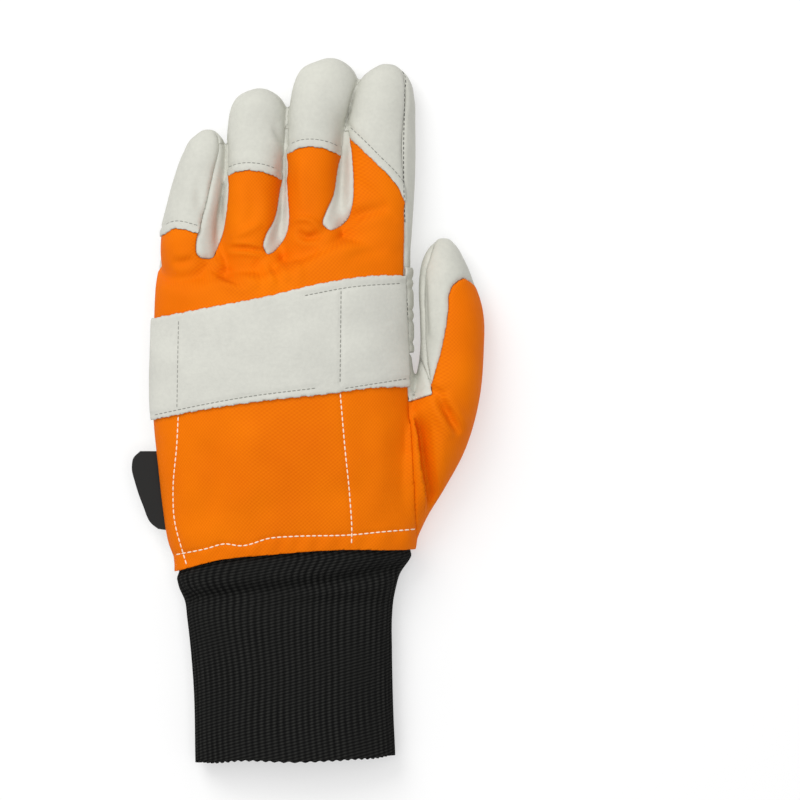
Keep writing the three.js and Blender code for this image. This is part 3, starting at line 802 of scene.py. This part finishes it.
def thumbField(co):
    overlap = 0.01  # joins the upper and the lower half
    above = np.minimum(inThumbAbove(co), co[:, 2] - thumbSeamHeight + overlap)
    below = np.minimum(inThumbBelow(co), thumbSeamHeight + overlap - co[:, 2])
    return np.maximum(above, below)


regions = [
    ("outside", lambda co: heightOf(lines["hem"], co[:, 0]) - co[:, 1]),
    ("little_cap", capField("little")),
    ("ring_cap", capField("ring")),
    ("middle_cap", capField("middle")),
    ("index_cap", capField("index")),
    ("back_panel", backField),
    ("little_ring_fourchette", stripField("littleRing")),
    ("ring_middle_fourchette", stripField("ringMiddle")),
    ("middle_index_fourchette", stripField("middleIndex")),
    ("web_gusset", lambda co: np.minimum(inGusset(co), co[:, 2] - seamHeight)),
    ("thumb_cap", lambda co: np.minimum(inThumbCap(co), co[:, 2] - thumbSeamHeight)),
    ("thumb_back", thumbField),
    ("thumb_front", inThumbFront),
    ("ring_front", frontField("ring")),
    ("middle_front", frontField("middle")),
    ("palm_panel", lambda co: np.ones(len(co))),
]
snap = 0.12  # a vertex nearer to a seam than this is taken as on it
smallest = 400  # a patch of fewer faces joins the panel that it touches most


def cutAlong(bm, field, allowed):
    # splits the allowed faces where the field passes zero, so that the cut is a clean line
    bm.verts.index_update()
    value = field(np.array([vert.co[:] for vert in bm.verts]))
    value[np.abs(value) < snap] = 0
    value = value.tolist()
    onLine = set()
    for edge in list(bm.edges):
        a, b = edge.verts
        va, vb = value[a.index], value[b.index]
        if va * vb < 0 and any(allowed(face) for face in edge.link_faces):
            onLine.add(bmesh.utils.edge_split(edge, a, va / (va - vb))[1])
    onLine.update(
        vert for vert in bm.verts
        if 0 <= vert.index < len(value) and value[vert.index] == 0
        and vert not in onLine and any(allowed(face) for face in vert.link_faces)
    )
    bmesh.ops.connect_verts(bm, verts=list(onLine))


def joinScraps(bm, label):
    seen = set()
    for first in bm.faces:
        if first in seen:
            continue
        patch, queue, touched = [], [first], {}
        seen.add(first)
        while queue:
            face = queue.pop()
            patch.append(face)
            around = (near for edge in face.edges for near in edge.link_faces)
            for other in (near for near in around if near is not face):
                if other[label] != first[label]:
                    touched[other[label]] = touched.get(other[label], 0) + 1
                elif other not in seen:
                    seen.add(other)
                    queue.append(other)
        if len(patch) < smallest and touched:
            joined = max(touched, key=touched.get)
            for face in patch:
                face[label] = joined


def cutRegions(made):
    bm = bmesh.new()
    bm.from_mesh(made.data)
    handNormal = bm.verts.layers.float_vector.new("handNormal")
    for vert in bm.verts:
        vert[handNormal] = vert.normal
    label = bm.faces.layers.int.new("label")
    for number, (name, field) in enumerate(regions, start=1):
        if name != "palm_panel":
            cutAlong(bm, field, lambda face: face[label] == 0)
        free = [face for face in bm.faces if face[label] == 0]
        inside = field(np.array([face.calc_center_median()[:] for face in free])) > 0
        for face, taken in zip(free, inside):
            if taken:
                face[label] = number
    joinScraps(bm, label)
    return bm


cutHand = cutRegions(skinObject)
bpy.data.objects.remove(skinObject)
regionNumber = {name: number for number, (name, field) in enumerate(regions, start=1)}
print("panels cut:", len(cutHand.faces), "faces")


def copyRegion(name):
    out = cutHand.copy()
    label = out.faces.layers.int["label"]
    others = [face for face in out.faces if face[label] != regionNumber[name]]
    bmesh.ops.delete(out, geom=others, context="FACES")
    return out


def rimDistance(bm, co):
    rim = [vert for vert in bm.verts if vert.is_boundary]
    tree = KDTree(len(rim))
    for i, vert in enumerate(rim):
        tree.insert(vert.co, i)
    tree.balance()
    return np.array([tree.find(point)[2] for point in co])


weaveTop = {  # the top line that the cloth bends down from on both sides, in millimetres
    "back": {"height": 29.0, "middle": 0.0, "reach": 25.0},
    "thumb": {"height": 24.0, "middle": 58.0, "reach": 10.0},
}
surfaces = {}  # the outer surface of each piece, in plan millimetres, to lay stitches on
clearance = 0.02  # millimetres that every panel keeps from the floor


def panelObject(name, bm, profile, wall, material):
    # moves each point along the hand's own normal by the profile, and gives the sheet its wall
    layer = bm.verts.layers.float_vector["handNormal"]
    weave = bm.verts.layers.float_vector.new("weave")
    co = np.array([vert.co[:] for vert in bm.verts])
    normal = np.array([vert[layer][:] for vert in bm.verts])
    normal /= np.maximum(np.linalg.norm(normal, axis=1), 1e-6)[:, None]
    co = co + normal * profile(co, rimDistance(bm, co))[:, None]
    co[:, 2] = np.maximum(co[:, 2], clearance)
    top = weaveTop["thumb" if name == "thumb_back" else "back"]
    turn = np.clip((co[:, 0] - top["middle"]) / top["reach"], -1, 1)
    around = co[:, 0] - (co[:, 2] - top["height"]) * turn
    for vert, point, turned in zip(bm.verts, co, around):
        vert.co = point
        vert[weave] = (turned, point[1], 0)
    bm.normal_update()
    surfaces[name] = BVHTree.FromBMesh(bm)
    made = finishPiece(name + "_skin", bm, material, wall)
    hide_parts(name)
    return made


slotEase = {"least": 0.3, "reach": (1.5, 5)}


def atSlots(co):
    # 1 away from the narrow slots between the fingers, less in them
    near = nearestOf(co, [slotLines[name] for name in fingerSlots])
    return slotEase["least"] + (1 - slotEase["least"]) * smooth(*slotEase["reach"], near)


def rolled(depth, width):
    # the edge of a panel turns down into its seam
    def profile(co, rim):
        return -depth * turnIn(rim, width) * atSlots(co)
    return profile


def linear(code):
    # sRGB hex to a linear colour
    value = [int(code[i:i + 2], 16) / 255 for i in (0, 2, 4)]
    return tuple(c / 12.92 if c <= 0.04045 else ((c + 0.055) / 1.055) ** 2.4 for c in value) + (1.0,)


def addNode(tree, kind, values=None, links=None, **settings):
    # a link names a socket, or a node for its first output
    node = tree.nodes.new("ShaderNode" + kind)
    for key, value in settings.items():
        setattr(node, key, value)
    for key, value in (values or {}).items():
        node.inputs[key].default_value = value
    for key, source in (links or {}).items():
        tree.links.new(getattr(source, "outputs", [source])[0], node.inputs[key])
    return node


def newMaterial(name):
    material = bpy.data.materials.new(name)
    material.use_nodes = True
    tree = material.node_tree
    tree.nodes.clear()
    return material, tree


def finishMaterial(tree, colour, normal, values):
    shader = addNode(tree, "BsdfPrincipled", values, {"Base Color": colour, "Normal": normal})
    addNode(tree, "OutputMaterial", links={"Surface": shader})


perMetre = 1000.0  # a pattern of 1 mm repeats this often in a metre; the sizes below are in millimetres


def goatLeather(name, pale, shade, grain):
    # chrome-tanned goatskin, smooth side out: fine pebble grain, faint blotches, matt
    material, tree = newMaterial(name)
    place = addNode(tree, "TexCoord").outputs["Object"]
    blotch = addNode(
        tree, "TexNoise", {"Scale": perMetre / 22, "Detail": 4, "Roughness": 0.6},
        {"Vector": place},
    )
    fine = addNode(tree, "TexNoise", {"Scale": perMetre / 1.6, "Detail": 3}, {"Vector": place})
    both = addNode(tree, "Mix", {"Factor": 0.35}, {"A": blotch, "B": fine})
    ramp = addNode(tree, "ValToRGB", links={"Fac": both})
    for stop, at, colour in zip(ramp.color_ramp.elements, (0.32, 0.62), (shade, pale)):
        stop.position = at
        stop.color = linear(colour)
    pebbles = addNode(
        tree, "TexVoronoi", {"Scale": perMetre / 0.9}, {"Vector": place}, feature="SMOOTH_F1",
    )
    squeeze = addNode(tree, "Mapping", {"Scale": (1, 5, 1)}, {"Vector": place})
    wrinkle = addNode(
        tree, "TexNoise", {"Scale": perMetre / 9, "Detail": 5, "Distortion": 0.4},
        {"Vector": squeeze},
    )
    low = addNode(tree, "Bump", {"Strength": 0.25, "Distance": 0.0004}, {"Height": wrinkle})
    bump = addNode(
        tree, "Bump", {"Strength": grain, "Distance": 0.00015},
        {"Height": pebbles, "Normal": low},
    )
    finishMaterial(tree, ramp, bump, {"Roughness": 0.6, "Specular IOR Level": 0.25})
    return material


twillPitch = 1.15  # millimetres between two ribs of the twill


def twillFabric(name, bright, deep):
    # tightly woven synthetic with a fine diagonal twill and a slight sheen
    material, tree = newMaterial(name)
    place = addNode(tree, "TexCoord").outputs["Object"]
    cloth = addNode(tree, "Attribute", attribute_name="weave").outputs["Vector"]
    waves = []
    for slant in (1, -1):
        along = addNode(
            tree, "VectorMath", {1: (math.sqrt(0.5), slant * math.sqrt(0.5), 0)}, {0: cloth},
            operation="DOT_PRODUCT",
        )
        phase = addNode(
            tree, "Math", {1: 2 * math.pi / twillPitch}, {0: along.outputs["Value"]},
            operation="MULTIPLY",
        )
        waves.append(addNode(tree, "Math", links={0: phase}, operation="SINE"))
    weave = addNode(tree, "Math", links={0: waves[0], 1: waves[1]}, operation="ADD")
    blotch = addNode(tree, "TexNoise", {"Scale": perMetre / 30, "Detail": 3}, {"Vector": place})
    tint = addNode(tree, "Math", {1: 0.09, 2: 0.5}, {0: weave}, operation="MULTIPLY_ADD")
    mixed = addNode(tree, "Mix", {"Factor": 0.45}, {"A": tint, "B": blotch})
    ramp = addNode(tree, "ValToRGB", links={"Fac": mixed})
    for stop, at, colour in zip(ramp.color_ramp.elements, (0.3, 0.7), (deep, bright)):
        stop.position = at
        stop.color = linear(colour)
    bump = addNode(tree, "Bump", {"Strength": 0.22, "Distance": 0.0001}, {"Height": weave})
    finishMaterial(tree, ramp, bump, {"Roughness": 0.7, "Specular IOR Level": 0.06})
    return material


def ribKnit(name, dark, light):
    # elastic polyester rib: the colour follows the stitches' height, a painted highlight on their
    # crowns over painted shade, near black, in the gaps
    material, tree = newMaterial(name)
    uv = addNode(tree, "UVMap")
    parts = addNode(tree, "SeparateXYZ", links={0: uv})
    sway = addNode(tree, "TexNoise", {"Scale": 0.025, "Detail": 0}, {"Vector": uv})
    column = addNode(tree, "Math", {1: 5.0}, {0: sway, 2: parts}, operation="MULTIPLY_ADD")
    turns = {1: 2 * math.pi / knit["ribPitch"]}
    swayed = addNode(tree, "Math", turns, {0: column}, operation="MULTIPLY")
    ribs = addNode(tree, "Math", links={0: swayed}, operation="COSINE")
    turns = {1: 2 * math.pi / knit["rowPitch"]}
    rowPhase = addNode(tree, "Math", turns, {0: parts.outputs[1]}, operation="MULTIPLY")
    slant = addNode(tree, "Math", {1: 0.5}, {0: swayed, 2: rowPhase}, operation="MULTIPLY_ADD")
    rows = addNode(tree, "Math", links={0: slant}, operation="SINE")
    worn = addNode(tree, "TexNoise", {"Scale": 1 / 26, "Detail": 2}, {"Vector": uv})
    ribDeep = addNode(tree, "Math", {1: 0.6, 2: -0.08}, {0: worn}, operation="MULTIPLY_ADD")
    ribShare = addNode(tree, "Math", {2: 0.68}, {0: ribs, 1: ribDeep}, operation="MULTIPLY_ADD")
    rowShare = addNode(tree, "Math", {1: 0.32, 2: 0.68}, {0: rows}, operation="MULTIPLY_ADD")
    height = addNode(tree, "Math", links={0: ribShare, 1: rowShare}, operation="MULTIPLY")
    fuzz = addNode(tree, "TexNoise", {"Scale": 1 / 0.7, "Detail": 2}, {"Vector": uv})
    lit = addNode(tree, "Mix", {"Factor": 0.25}, {"A": height, "B": fuzz})
    # the ramp paints the highlight on the high crowns and the shade in the low gaps, from the same
    # height as the bump
    ramp = addNode(tree, "ValToRGB", links={"Fac": lit})
    for stop, at, colour in zip(ramp.color_ramp.elements, (0.3, 0.85), (dark, light)):
        stop.position = at
        stop.color = linear(colour)
    bump = addNode(tree, "Bump", {"Strength": 0.8, "Distance": 0.0005}, {"Height": height})
    finishMaterial(tree, ramp, bump, {"Roughness": 0.85, "Specular IOR Level": 0.12})
    return material


def plainFinish(name, colour, roughness):
    # thread and tape: one colour, slightly uneven
    material, tree = newMaterial(name)
    place = addNode(tree, "TexCoord").outputs["Object"]
    noise = addNode(tree, "TexNoise", {"Scale": perMetre / 0.5}, {"Vector": place})
    ramp = addNode(tree, "ValToRGB", links={"Fac": noise})
    ramp.color_ramp.elements[0].color = tuple(0.8 * c for c in linear(colour)[:3]) + (1,)
    ramp.color_ramp.elements[1].color = linear(colour)
    bump = addNode(tree, "Bump", {"Strength": 0.3, "Distance": 0.0001}, {"Height": noise})
    finishMaterial(tree, ramp, bump, {"Roughness": roughness, "Specular IOR Level": 0.15})
    return material


knit = {
    "ribPitch": 2.7,
    "rowPitch": 1.3,
    "ribs": 72,
    "ribSides": 5,
    "ribDepth": 0.2,
    "step": 0.9,
    "wall": 2.2,
    "inset": 1.6,
    "insetHeight": 0.12,
    "tuck": (-3.5, 0.5),
    "halfWidth": 45,
}
cuffEdge = {  # the lower edge isn't straight: its rise across, its waves, and a scallop at each rib
    "x": [-38, -20, 22, 45],
    "rise": [0.2, 0.9, 1.0, 3.2],
    "reach": 12,
    "wave": 0.3,
    "waves": 7,
    "scallop": 0.3,
    "scallopReach": 0.8,
}
cuffDents = [  # in the photograph, depth and width in millimetres
    [[[178, 597], [240, 591], [298, 586], [363, 575], [398, 565]], 3.2, 3.0],
    [[[190, 640], [260, 660], [330, 640]], 0.4, 12],
]
leather = goatLeather("goatskin", "CDCDC3", "C2C2B9", 0.25)
strapLeather = goatLeather("suede_split", "CFCFC6", "C4C4BC", 0.4)
orange = twillFabric("orange_twill", "F07A00", "DC6400")
# the knit's near-black is painted shade in its gaps and the dark grey a painted highlight on its stitch
# crowns
knitFinish = ribKnit("rib_knit", "060606", "2D2D2B")
tapeFinish = plainFinish("woven_tape", "1D1D1C", 0.45)
creamThread = plainFinish("cream_thread", "FFF0D8", 0.6)
greyThread = plainFinish("grey_thread", "96968F", 0.6)
darkThread = plainFinish("dark_thread", "3A3A3A", 0.6)

# Panels, all in millimetres; a pair is where an effect starts and where it is full
panel = {
    "wall": 1.6,
    "roll": 1.1,
    "rollWidth": 2.4,
    "capLift": 0.9,
    "capReach": 7.0,
    "capEase": (1.5, 5),
    "hemWidth": 3.2,
    "hemGroove": 0.45,
    "grooveWidth": 0.7,
    "edgeDrop": 0.3,
    "edgeWidth": 1.2,
    "gussetHem": 0.6,
    "gussetEase": (3.4, 2.2),
    "gussetRoll": (1, 3),
    "orangeRoll": 0.55,
    "orangeRollWidth": 1.6,
    "underCap": (1, 4),
    "hemLift": 0.7,
    "hemEase": (7, 0),
    "hemFree": (0.5, 3),
}


def capProfile(name):
    def profile(co, rim):
        near, _ = distanceTo(co[:, :2], lines[name])
        lift = panel["capLift"] * ridge(near, panel["capReach"]) * atSlots(co)
        groove = panel["hemGroove"] * ridge(near - panel["hemWidth"], panel["grooveWidth"])
        roll = panel["roll"] * turnIn(rim, panel["rollWidth"]) * atSlots(co)
        edge = panel["edgeDrop"] * np.clip(1 - near / panel["edgeWidth"], 0, 1)
        return lift - groove - roll * smooth(*panel["capEase"], near) - edge
    return profile


gussetEdge = fromPhoto([[408, 402.4], [420, 398], [433, 391.5]])


def gussetProfile(co, rim):
    near, _ = distanceTo(co[:, :2], gussetEdge)
    hemmed = panel["gussetHem"] * smooth(*panel["gussetEase"], near)
    roll = panel["roll"] * turnIn(rim, panel["rollWidth"])
    return hemmed - roll * smooth(*panel["gussetRoll"], near)


leatherPanels = [
    "palm_panel", "ring_front", "middle_front", "little_ring_fourchette", "ring_middle_fourchette",
    "middle_index_fourchette", "web_gusset", "thumb_cap", "thumb_front",
]
for name in leatherPanels:
    profile = gussetProfile if name == "web_gusset" else rolled(panel["roll"], panel["rollWidth"])
    panelObject(name, copyRegion(name), profile, panel["wall"], leather)
for name in capEdges:
    node = name + "_cap"
    panelObject(
        node, copyRegion(node), capProfile(name), panel["wall"], leather,
    )


def orangeProfile(co, rim):
    # turned in along the seams, but flat where the leather is stitched over it, and free at the hem
    over = nearestOf(co, [lines[name] for name in capEdges])
    free = co[:, 1] - heightOf(lines["hem"], co[:, 0])
    roll = panel["orangeRoll"] * turnIn(rim, panel["orangeRollWidth"])
    lift = panel["hemLift"] * smooth(*panel["hemEase"], free)
    return lift - roll * smooth(*panel["underCap"], over) * smooth(*panel["hemFree"], free)


for name in ("back_panel", "thumb_back"):
    panelObject(
        name, copyRegion(name), orangeProfile, panel["wall"], orange,
    )

# Knuckle strap and palm patch lie over the panels
overlay = {
    "gap": 0.25,
    "strapWall": 1.2,
    "strapEdge": 0.35,
    "groove": 0.4,
    "grooveWidth": 0.8,
    "patchWall": 1.1,
    "patchEdge": 0.5,
    "patchEnd": -50.8,
    "patchGroove": 0.7,
    "patchRoll": 1.5,
    "patchHeight": 0.27 * hand["palmLength"],
}


def overlayPiece(name, source, field, profile, wall, material):
    bm = copyRegion(source)
    cutAlong(bm, field, lambda face: True)
    centres = np.array([face.calc_center_median()[:] for face in bm.faces])
    outside = [face for face, value in zip(bm.faces, field(centres)) if value <= 0]
    bmesh.ops.delete(bm, geom=outside, context="FACES")
    return panelObject(name, bm, profile, wall, material)


def strapField(co):
    above = co[:, 1] - heightOf(lines["strapBottom"], co[:, 0])
    below = heightOf(lines["strapTop"], co[:, 0]) - co[:, 1]
    return np.minimum(above, below)


strapStitches = {  # in the photograph
    "left": [[180, 321], [178.4, 410]],
    "right": [[341.5, 291], [340.5, 384]],
    "top": [[305, 296.5], [351, 288], [403, 283.6]],
    "bottom": [[345, 388.5], [408, 378.5]],
    "bottomLeft": [[155, 415], [178, 410], [247, 397], [318, 388]],
}


def strapProfile(co, rim):
    lift = overlay["gap"] + overlay["strapWall"]
    near = nearestOf(co, [through(fromPhoto(line), 2) for line in strapStitches.values()])
    groove = overlay["groove"] * ridge(near, overlay["grooveWidth"])
    return lift - groove - overlay["strapEdge"] * turnIn(rim, 1.0)


overlayPiece(
    "knuckle_strap", "back_panel", strapField, strapProfile, overlay["strapWall"], strapLeather,
)


def patchField(co):
    above = co[:, 1] - heightOf(lines["patchBottom"], co[:, 0])
    below = heightOf(lines["patchTop"], co[:, 0]) - co[:, 1]
    return np.minimum.reduce([above, below, co[:, 0] - overlay["patchEnd"]])


patchRows = [0.13, 0.24, 0.5, 0.62, 0.88]  # stitch rows as shares of the patch, from its top


def patchShare(co):
    top = heightOf(lines["patchTop"], co[:, 0])
    return (top - co[:, 1]) / (top - heightOf(lines["patchBottom"], co[:, 0]))


def patchProfile(co, rim):
    share = patchShare(co)
    groove = sum(ridge((share - row) * overlay["patchHeight"], 1.0) for row in patchRows)
    sunk = overlay["patchGroove"] * groove + overlay["patchEdge"] * turnIn(rim, overlay["patchRoll"])
    return overlay["gap"] + overlay["patchWall"] - sunk


overlayPiece(
    "palm_patch", "palm_panel", patchField, patchProfile, overlay["patchWall"], leather,
)
print("overlays done")


# Knit cuff: one ribbed tube that gets its wall inwards, tucked in under the orange hem
def knitCuff():
    rows = sections(cuffRows, palmRows[:2], knit["step"])
    sides = knit["ribs"] * knit["ribSides"]
    outer = bodyRings(rows, 0, sides)
    tucked = smooth(*knit["tuck"], outer[..., 1] - heightOf(lines["hem"], outer[..., 0]))
    centre = rows[:, 0][:, None]
    middle = outer[..., 2].mean(axis=1, keepdims=True)
    shrink = 1 - (knit["inset"] / knit["halfWidth"]) * tucked
    outer[..., 0] = centre + (outer[..., 0] - centre) * shrink
    outer[..., 2] = middle + (outer[..., 2] - middle) * (1 - knit["insetHeight"] * tucked)
    tangent = np.roll(outer, -1, axis=1) - np.roll(outer, 1, axis=1)
    out = np.stack([tangent[..., 2], tangent[..., 0] * 0, -tangent[..., 0]], axis=-1)
    out /= np.maximum(np.linalg.norm(out, axis=-1, keepdims=True), 1e-6)
    ribs = np.cos(2 * np.pi * np.arange(sides) / knit["ribSides"])
    push = knit["ribDepth"] * ribs[None, :] * np.ones((len(rows), 1))
    up = smooth(0.1, 0.6, out[..., 2])
    for line, depth, width in cuffDents:
        near, _ = distanceTo(outer[..., :2].reshape(-1, 2), through(fromPhoto(line), 2))
        push -= depth * ridge(near.reshape(up.shape), width) * up
    outer += out * push[..., None]
    outer[..., 2] = np.maximum(outer[..., 2], 0)
    fromEdge = (rows[:, 1] - rows[0, 1])[:, None]
    angle = 2 * np.pi * np.arange(sides) / sides
    slope = np.interp(outer[0, :, 0], cuffEdge["x"], cuffEdge["rise"])
    wave = cuffEdge["wave"] * np.sin(cuffEdge["waves"] * angle)
    outer[..., 1] += ridge(fromEdge, cuffEdge["reach"]) * (slope + wave)
    outer[..., 1] -= ridge(fromEdge, cuffEdge["scallopReach"]) * cuffEdge["scallop"] * ribs
    bm = bmesh.new()
    made = bmesh.ops.create_grid(bm, x_segments=sides, y_segments=len(rows) - 1, size=1)["verts"]
    points = np.concatenate([outer, outer[:, :1]], axis=1)
    gaps = np.linalg.norm(np.diff(points, axis=1), axis=2)
    around = np.concatenate([np.zeros((len(rows), 1)), np.cumsum(gaps, axis=1)], axis=1)
    around *= knit["ribs"] * knit["ribPitch"] / around[:, -1:]
    uv = bm.loops.layers.uv.new("knit")
    bm.verts.index_update()
    around = around.reshape(-1)
    for vert, point in zip(made, points.reshape(-1, 3)):
        vert.co = point
    for face in bm.faces:
        for loop in face.loops:
            loop[uv].uv = (around[loop.vert.index], loop.vert.co.y)
    bmesh.ops.remove_doubles(bm, verts=bm.verts, dist=1e-4)
    bmesh.ops.recalc_face_normals(bm, faces=bm.faces)
    cuff = finishPiece("knit_cuff_skin", bm, knitFinish, knit["wall"])
    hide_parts("knit_cuff")
    return cuff


knitCuff()
print("cuff done")

# Side label, a loop of woven tape with rounded corners, left bare
label = {"low": 11.0, "high": 12.1, "bevel": 0.3}
labelOutline = [
    [-0.572, 0.345], [-0.599, 0.323], [-0.605, 0.298], [-0.59, 0.239], [-0.562, 0.174],
    [-0.527, 0.114], [-0.501, 0.098], [-0.464, 0.094], [-0.494, 0.345],
]


def sideLabel():
    corners = plan(labelOutline)
    edge = np.vstack([through(corners[:7], 1.0), through(corners[7:], 1.0)])
    bm = bmesh.new()
    verts = [bmesh.ops.create_vert(bm, co=(x, y, label["low"]))["vert"][0] for x, y in edge]
    bottom = bmesh.ops.contextual_create(bm, geom=verts)["faces"]
    top = bmesh.ops.extrude_face_region(bm, geom=bottom)["geom"]
    raised = [item for item in top if isinstance(item, bmesh.types.BMVert)]
    bmesh.ops.translate(bm, verts=raised, vec=(0, 0, label["high"] - label["low"]))
    bmesh.ops.recalc_face_normals(bm, faces=bm.faces)
    rims = [edge for edge in bm.edges if abs(edge.verts[0].co.z - edge.verts[1].co.z) < 1e-6]
    bmesh.ops.bevel(
        bm, geom=rims, offset=label["bevel"], segments=3, profile=0.5, affect="EDGES", material=-1,
    )
    made = finishPiece("side_label_tape", bm, tapeFinish, isSmooth=lambda face: len(face.verts) < 5)
    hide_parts("side_label")
    return made


sideLabel()

# Stitches, each a short rounded length of thread sunk a little into what it holds
thread = {
    "white": {"pitch": 2.4, "length": 1.85, "radius": 0.31, "lift": 0.05},
    "grey": {"pitch": 2.0, "length": 1.4, "radius": 0.23, "lift": 0.0},
    "seam": {"pitch": 2.0, "length": 1.3, "radius": 0.22, "lift": -0.05},
    "palm": {"pitch": 2.4, "length": 1.7, "radius": 0.24, "lift": 0.0},
}
threadForm = {"around": 8, "along": 5, "flat": 0.8, "over": 0.15, "step": 0.25}
clearOf = 80  # millimetres, well past the glove above and below


def seat(place, over, below):
    # the point of the outer surface over or under a place of the plan
    start = Vector((*place, -clearOf if below else clearOf))
    down = Vector((0, 0, 1 if below else -1))
    hits = [surfaces[name].ray_cast(start, down)[0] for name in over]
    hits = [hit for hit in hits if hit]
    if not hits:
        return None
    return (min if below else max)(hits, key=lambda hit: hit.z)


def stitches(name, rows, over, kind, material, below=False):
    size = thread[kind]
    thick = size["radius"] * threadForm["flat"]
    bm = bmesh.new()
    for row in rows:
        path = through(row, threadForm["step"])
        at = np.concatenate([[0], np.cumsum(np.hypot(*np.diff(path[:, :2], axis=0).T))])
        for middle in np.arange(size["pitch"] / 2, at[-1] - size["length"] / 2, size["pitch"]):
            ends = []
            for s in (middle - size["length"] / 2, middle + size["length"] / 2):
                spot = (np.interp(s, at, path[:, 0]), np.interp(s, at, path[:, 1]))
                ends.append(seat(spot, over, below))
            if None in ends or (ends[1] - ends[0]).length > 2 * size["length"]:
                continue
            along = ends[1] - ends[0]
            centre = (ends[0] + ends[1]) / 2
            centre.z += -size["lift"] if below else size["lift"]
            if below:
                centre.z = max(centre.z, thick)
            turn = along.to_track_quat("X", "Z").to_matrix().to_4x4()
            half = along.length / 2 + threadForm["over"]
            shape = Matrix.Diagonal((half, size["radius"], thick, 1))
            bmesh.ops.create_uvsphere(
                bm, u_segments=threadForm["around"], v_segments=threadForm["along"], radius=1,
                matrix=Matrix.Translation(centre) @ turn @ shape,
            )
    finishPiece(name, bm, material)


def beside(line, away):
    # a line moved sideways, to the left of its direction
    path = through(line, 1.0)
    along = np.gradient(path, axis=0)
    along /= np.hypot(*along.T)[:, None]
    return path + away * np.column_stack([-along[:, 1], along[:, 0]])


stitches("orange_stitches", orangeLines, ["back_panel"], "white", creamThread)
capRows = [beside(plan(line), panel["hemWidth"]) for line in capEdges.values()]
stitches("cap_stitches", capRows, [name + "_cap" for name in capEdges], "grey", greyThread)
stitches(
    "strap_stitches", [fromPhoto(line) for line in strapStitches.values()], ["knuckle_strap"],
    "grey", greyThread,
)
seamRows = [fromPhoto(line) for line in (
    [
        [402, 70], [405.4, 78], [404.5, 92], [404.2, 114], [403.6, 146], [403.6, 179], [404, 200],
        [405, 225],
    ],
    [[405, 278], [407, 303], [408.3, 348]],
)]
seamPanels = ["palm_panel", "index_cap", "palm_patch", "back_panel"]
stitches("side_seam_stitches", seamRows, seamPanels, "seam", darkThread)
patchX = np.linspace(-0.47, 0.47, 20) * hand["palmWidth"]
patchTops = heightOf(lines["patchTop"], patchX)
patchHeights = patchTops - heightOf(lines["patchBottom"], patchX)
patchLines = [np.column_stack([patchX, patchTops - share * patchHeights]) for share in patchRows]
stitches("patch_stitches", patchLines, ["palm_patch"], "palm", greyThread, below=True)
print("stitches done")

# Floor, light and camera; the camera looks straight down, as the photograph does
view = {"x": 0.0383, "y": 0.0043, "width": 0.332, "lens": 250.0, "sensor": 36.0, "focusHeight": 0.014}
lamps = {  # place in metres, size and power
    "key": [(-0.8, 1.2, 1.5), 1.2, 21],
    "overhead": [(0, 0, 3.0), 2.5, 36],
}
room = {"floorSize": 3.0, "floorHeight": -0.0005, "floorGrey": 0.56, "floorGlow": 0.42, "sky": 0.45}


def studio():
    bm = bmesh.new()
    bmesh.ops.create_grid(bm, x_segments=1, y_segments=1, size=room["floorSize"])
    floor = meshObject("floor", bm)
    floor.location.z = room["floorHeight"]
    material, tree = newMaterial("pale_floor")  # white paper, lit a little from itself
    shader = addNode(tree, "BsdfPrincipled", {
        "Base Color": (*[room["floorGrey"]] * 3, 1), "Roughness": 0.9, "Specular IOR Level": 0.1,
        "Emission Color": (1, 1, 1, 1), "Emission Strength": room["floorGlow"],
    })
    addNode(tree, "OutputMaterial", links={"Surface": shader})
    floor.data.materials.append(material)
    world = bpy.data.worlds.new("studio")
    bpy.context.scene.world = world
    world.use_nodes = True
    background = world.node_tree.nodes["Background"]
    background.inputs["Color"].default_value = (1, 1, 1, 1)
    background.inputs["Strength"].default_value = room["sky"]
    for name, (place, size, power) in lamps.items():
        light = bpy.data.lights.new(name, "AREA")
        light.size = size
        light.energy = power
        lamp = bpy.data.objects.new(name, light)
        bpy.context.scene.collection.objects.link(lamp)
        lamp.location = place
        lamp.rotation_euler = (-Vector(place)).to_track_quat("-Z", "Y").to_euler()
    camera = bpy.data.cameras.new("camera")
    camera.lens = view["lens"]
    camera.sensor_width = view["sensor"]
    camera.clip_end = 20
    seen = bpy.data.objects.new("camera", camera)
    bpy.context.scene.collection.objects.link(seen)
    away = view["width"] * view["lens"] / view["sensor"]
    seen.location = (view["x"], view["y"], away + view["focusHeight"])
    bpy.context.scene.camera = seen


studio()
print("studio set")
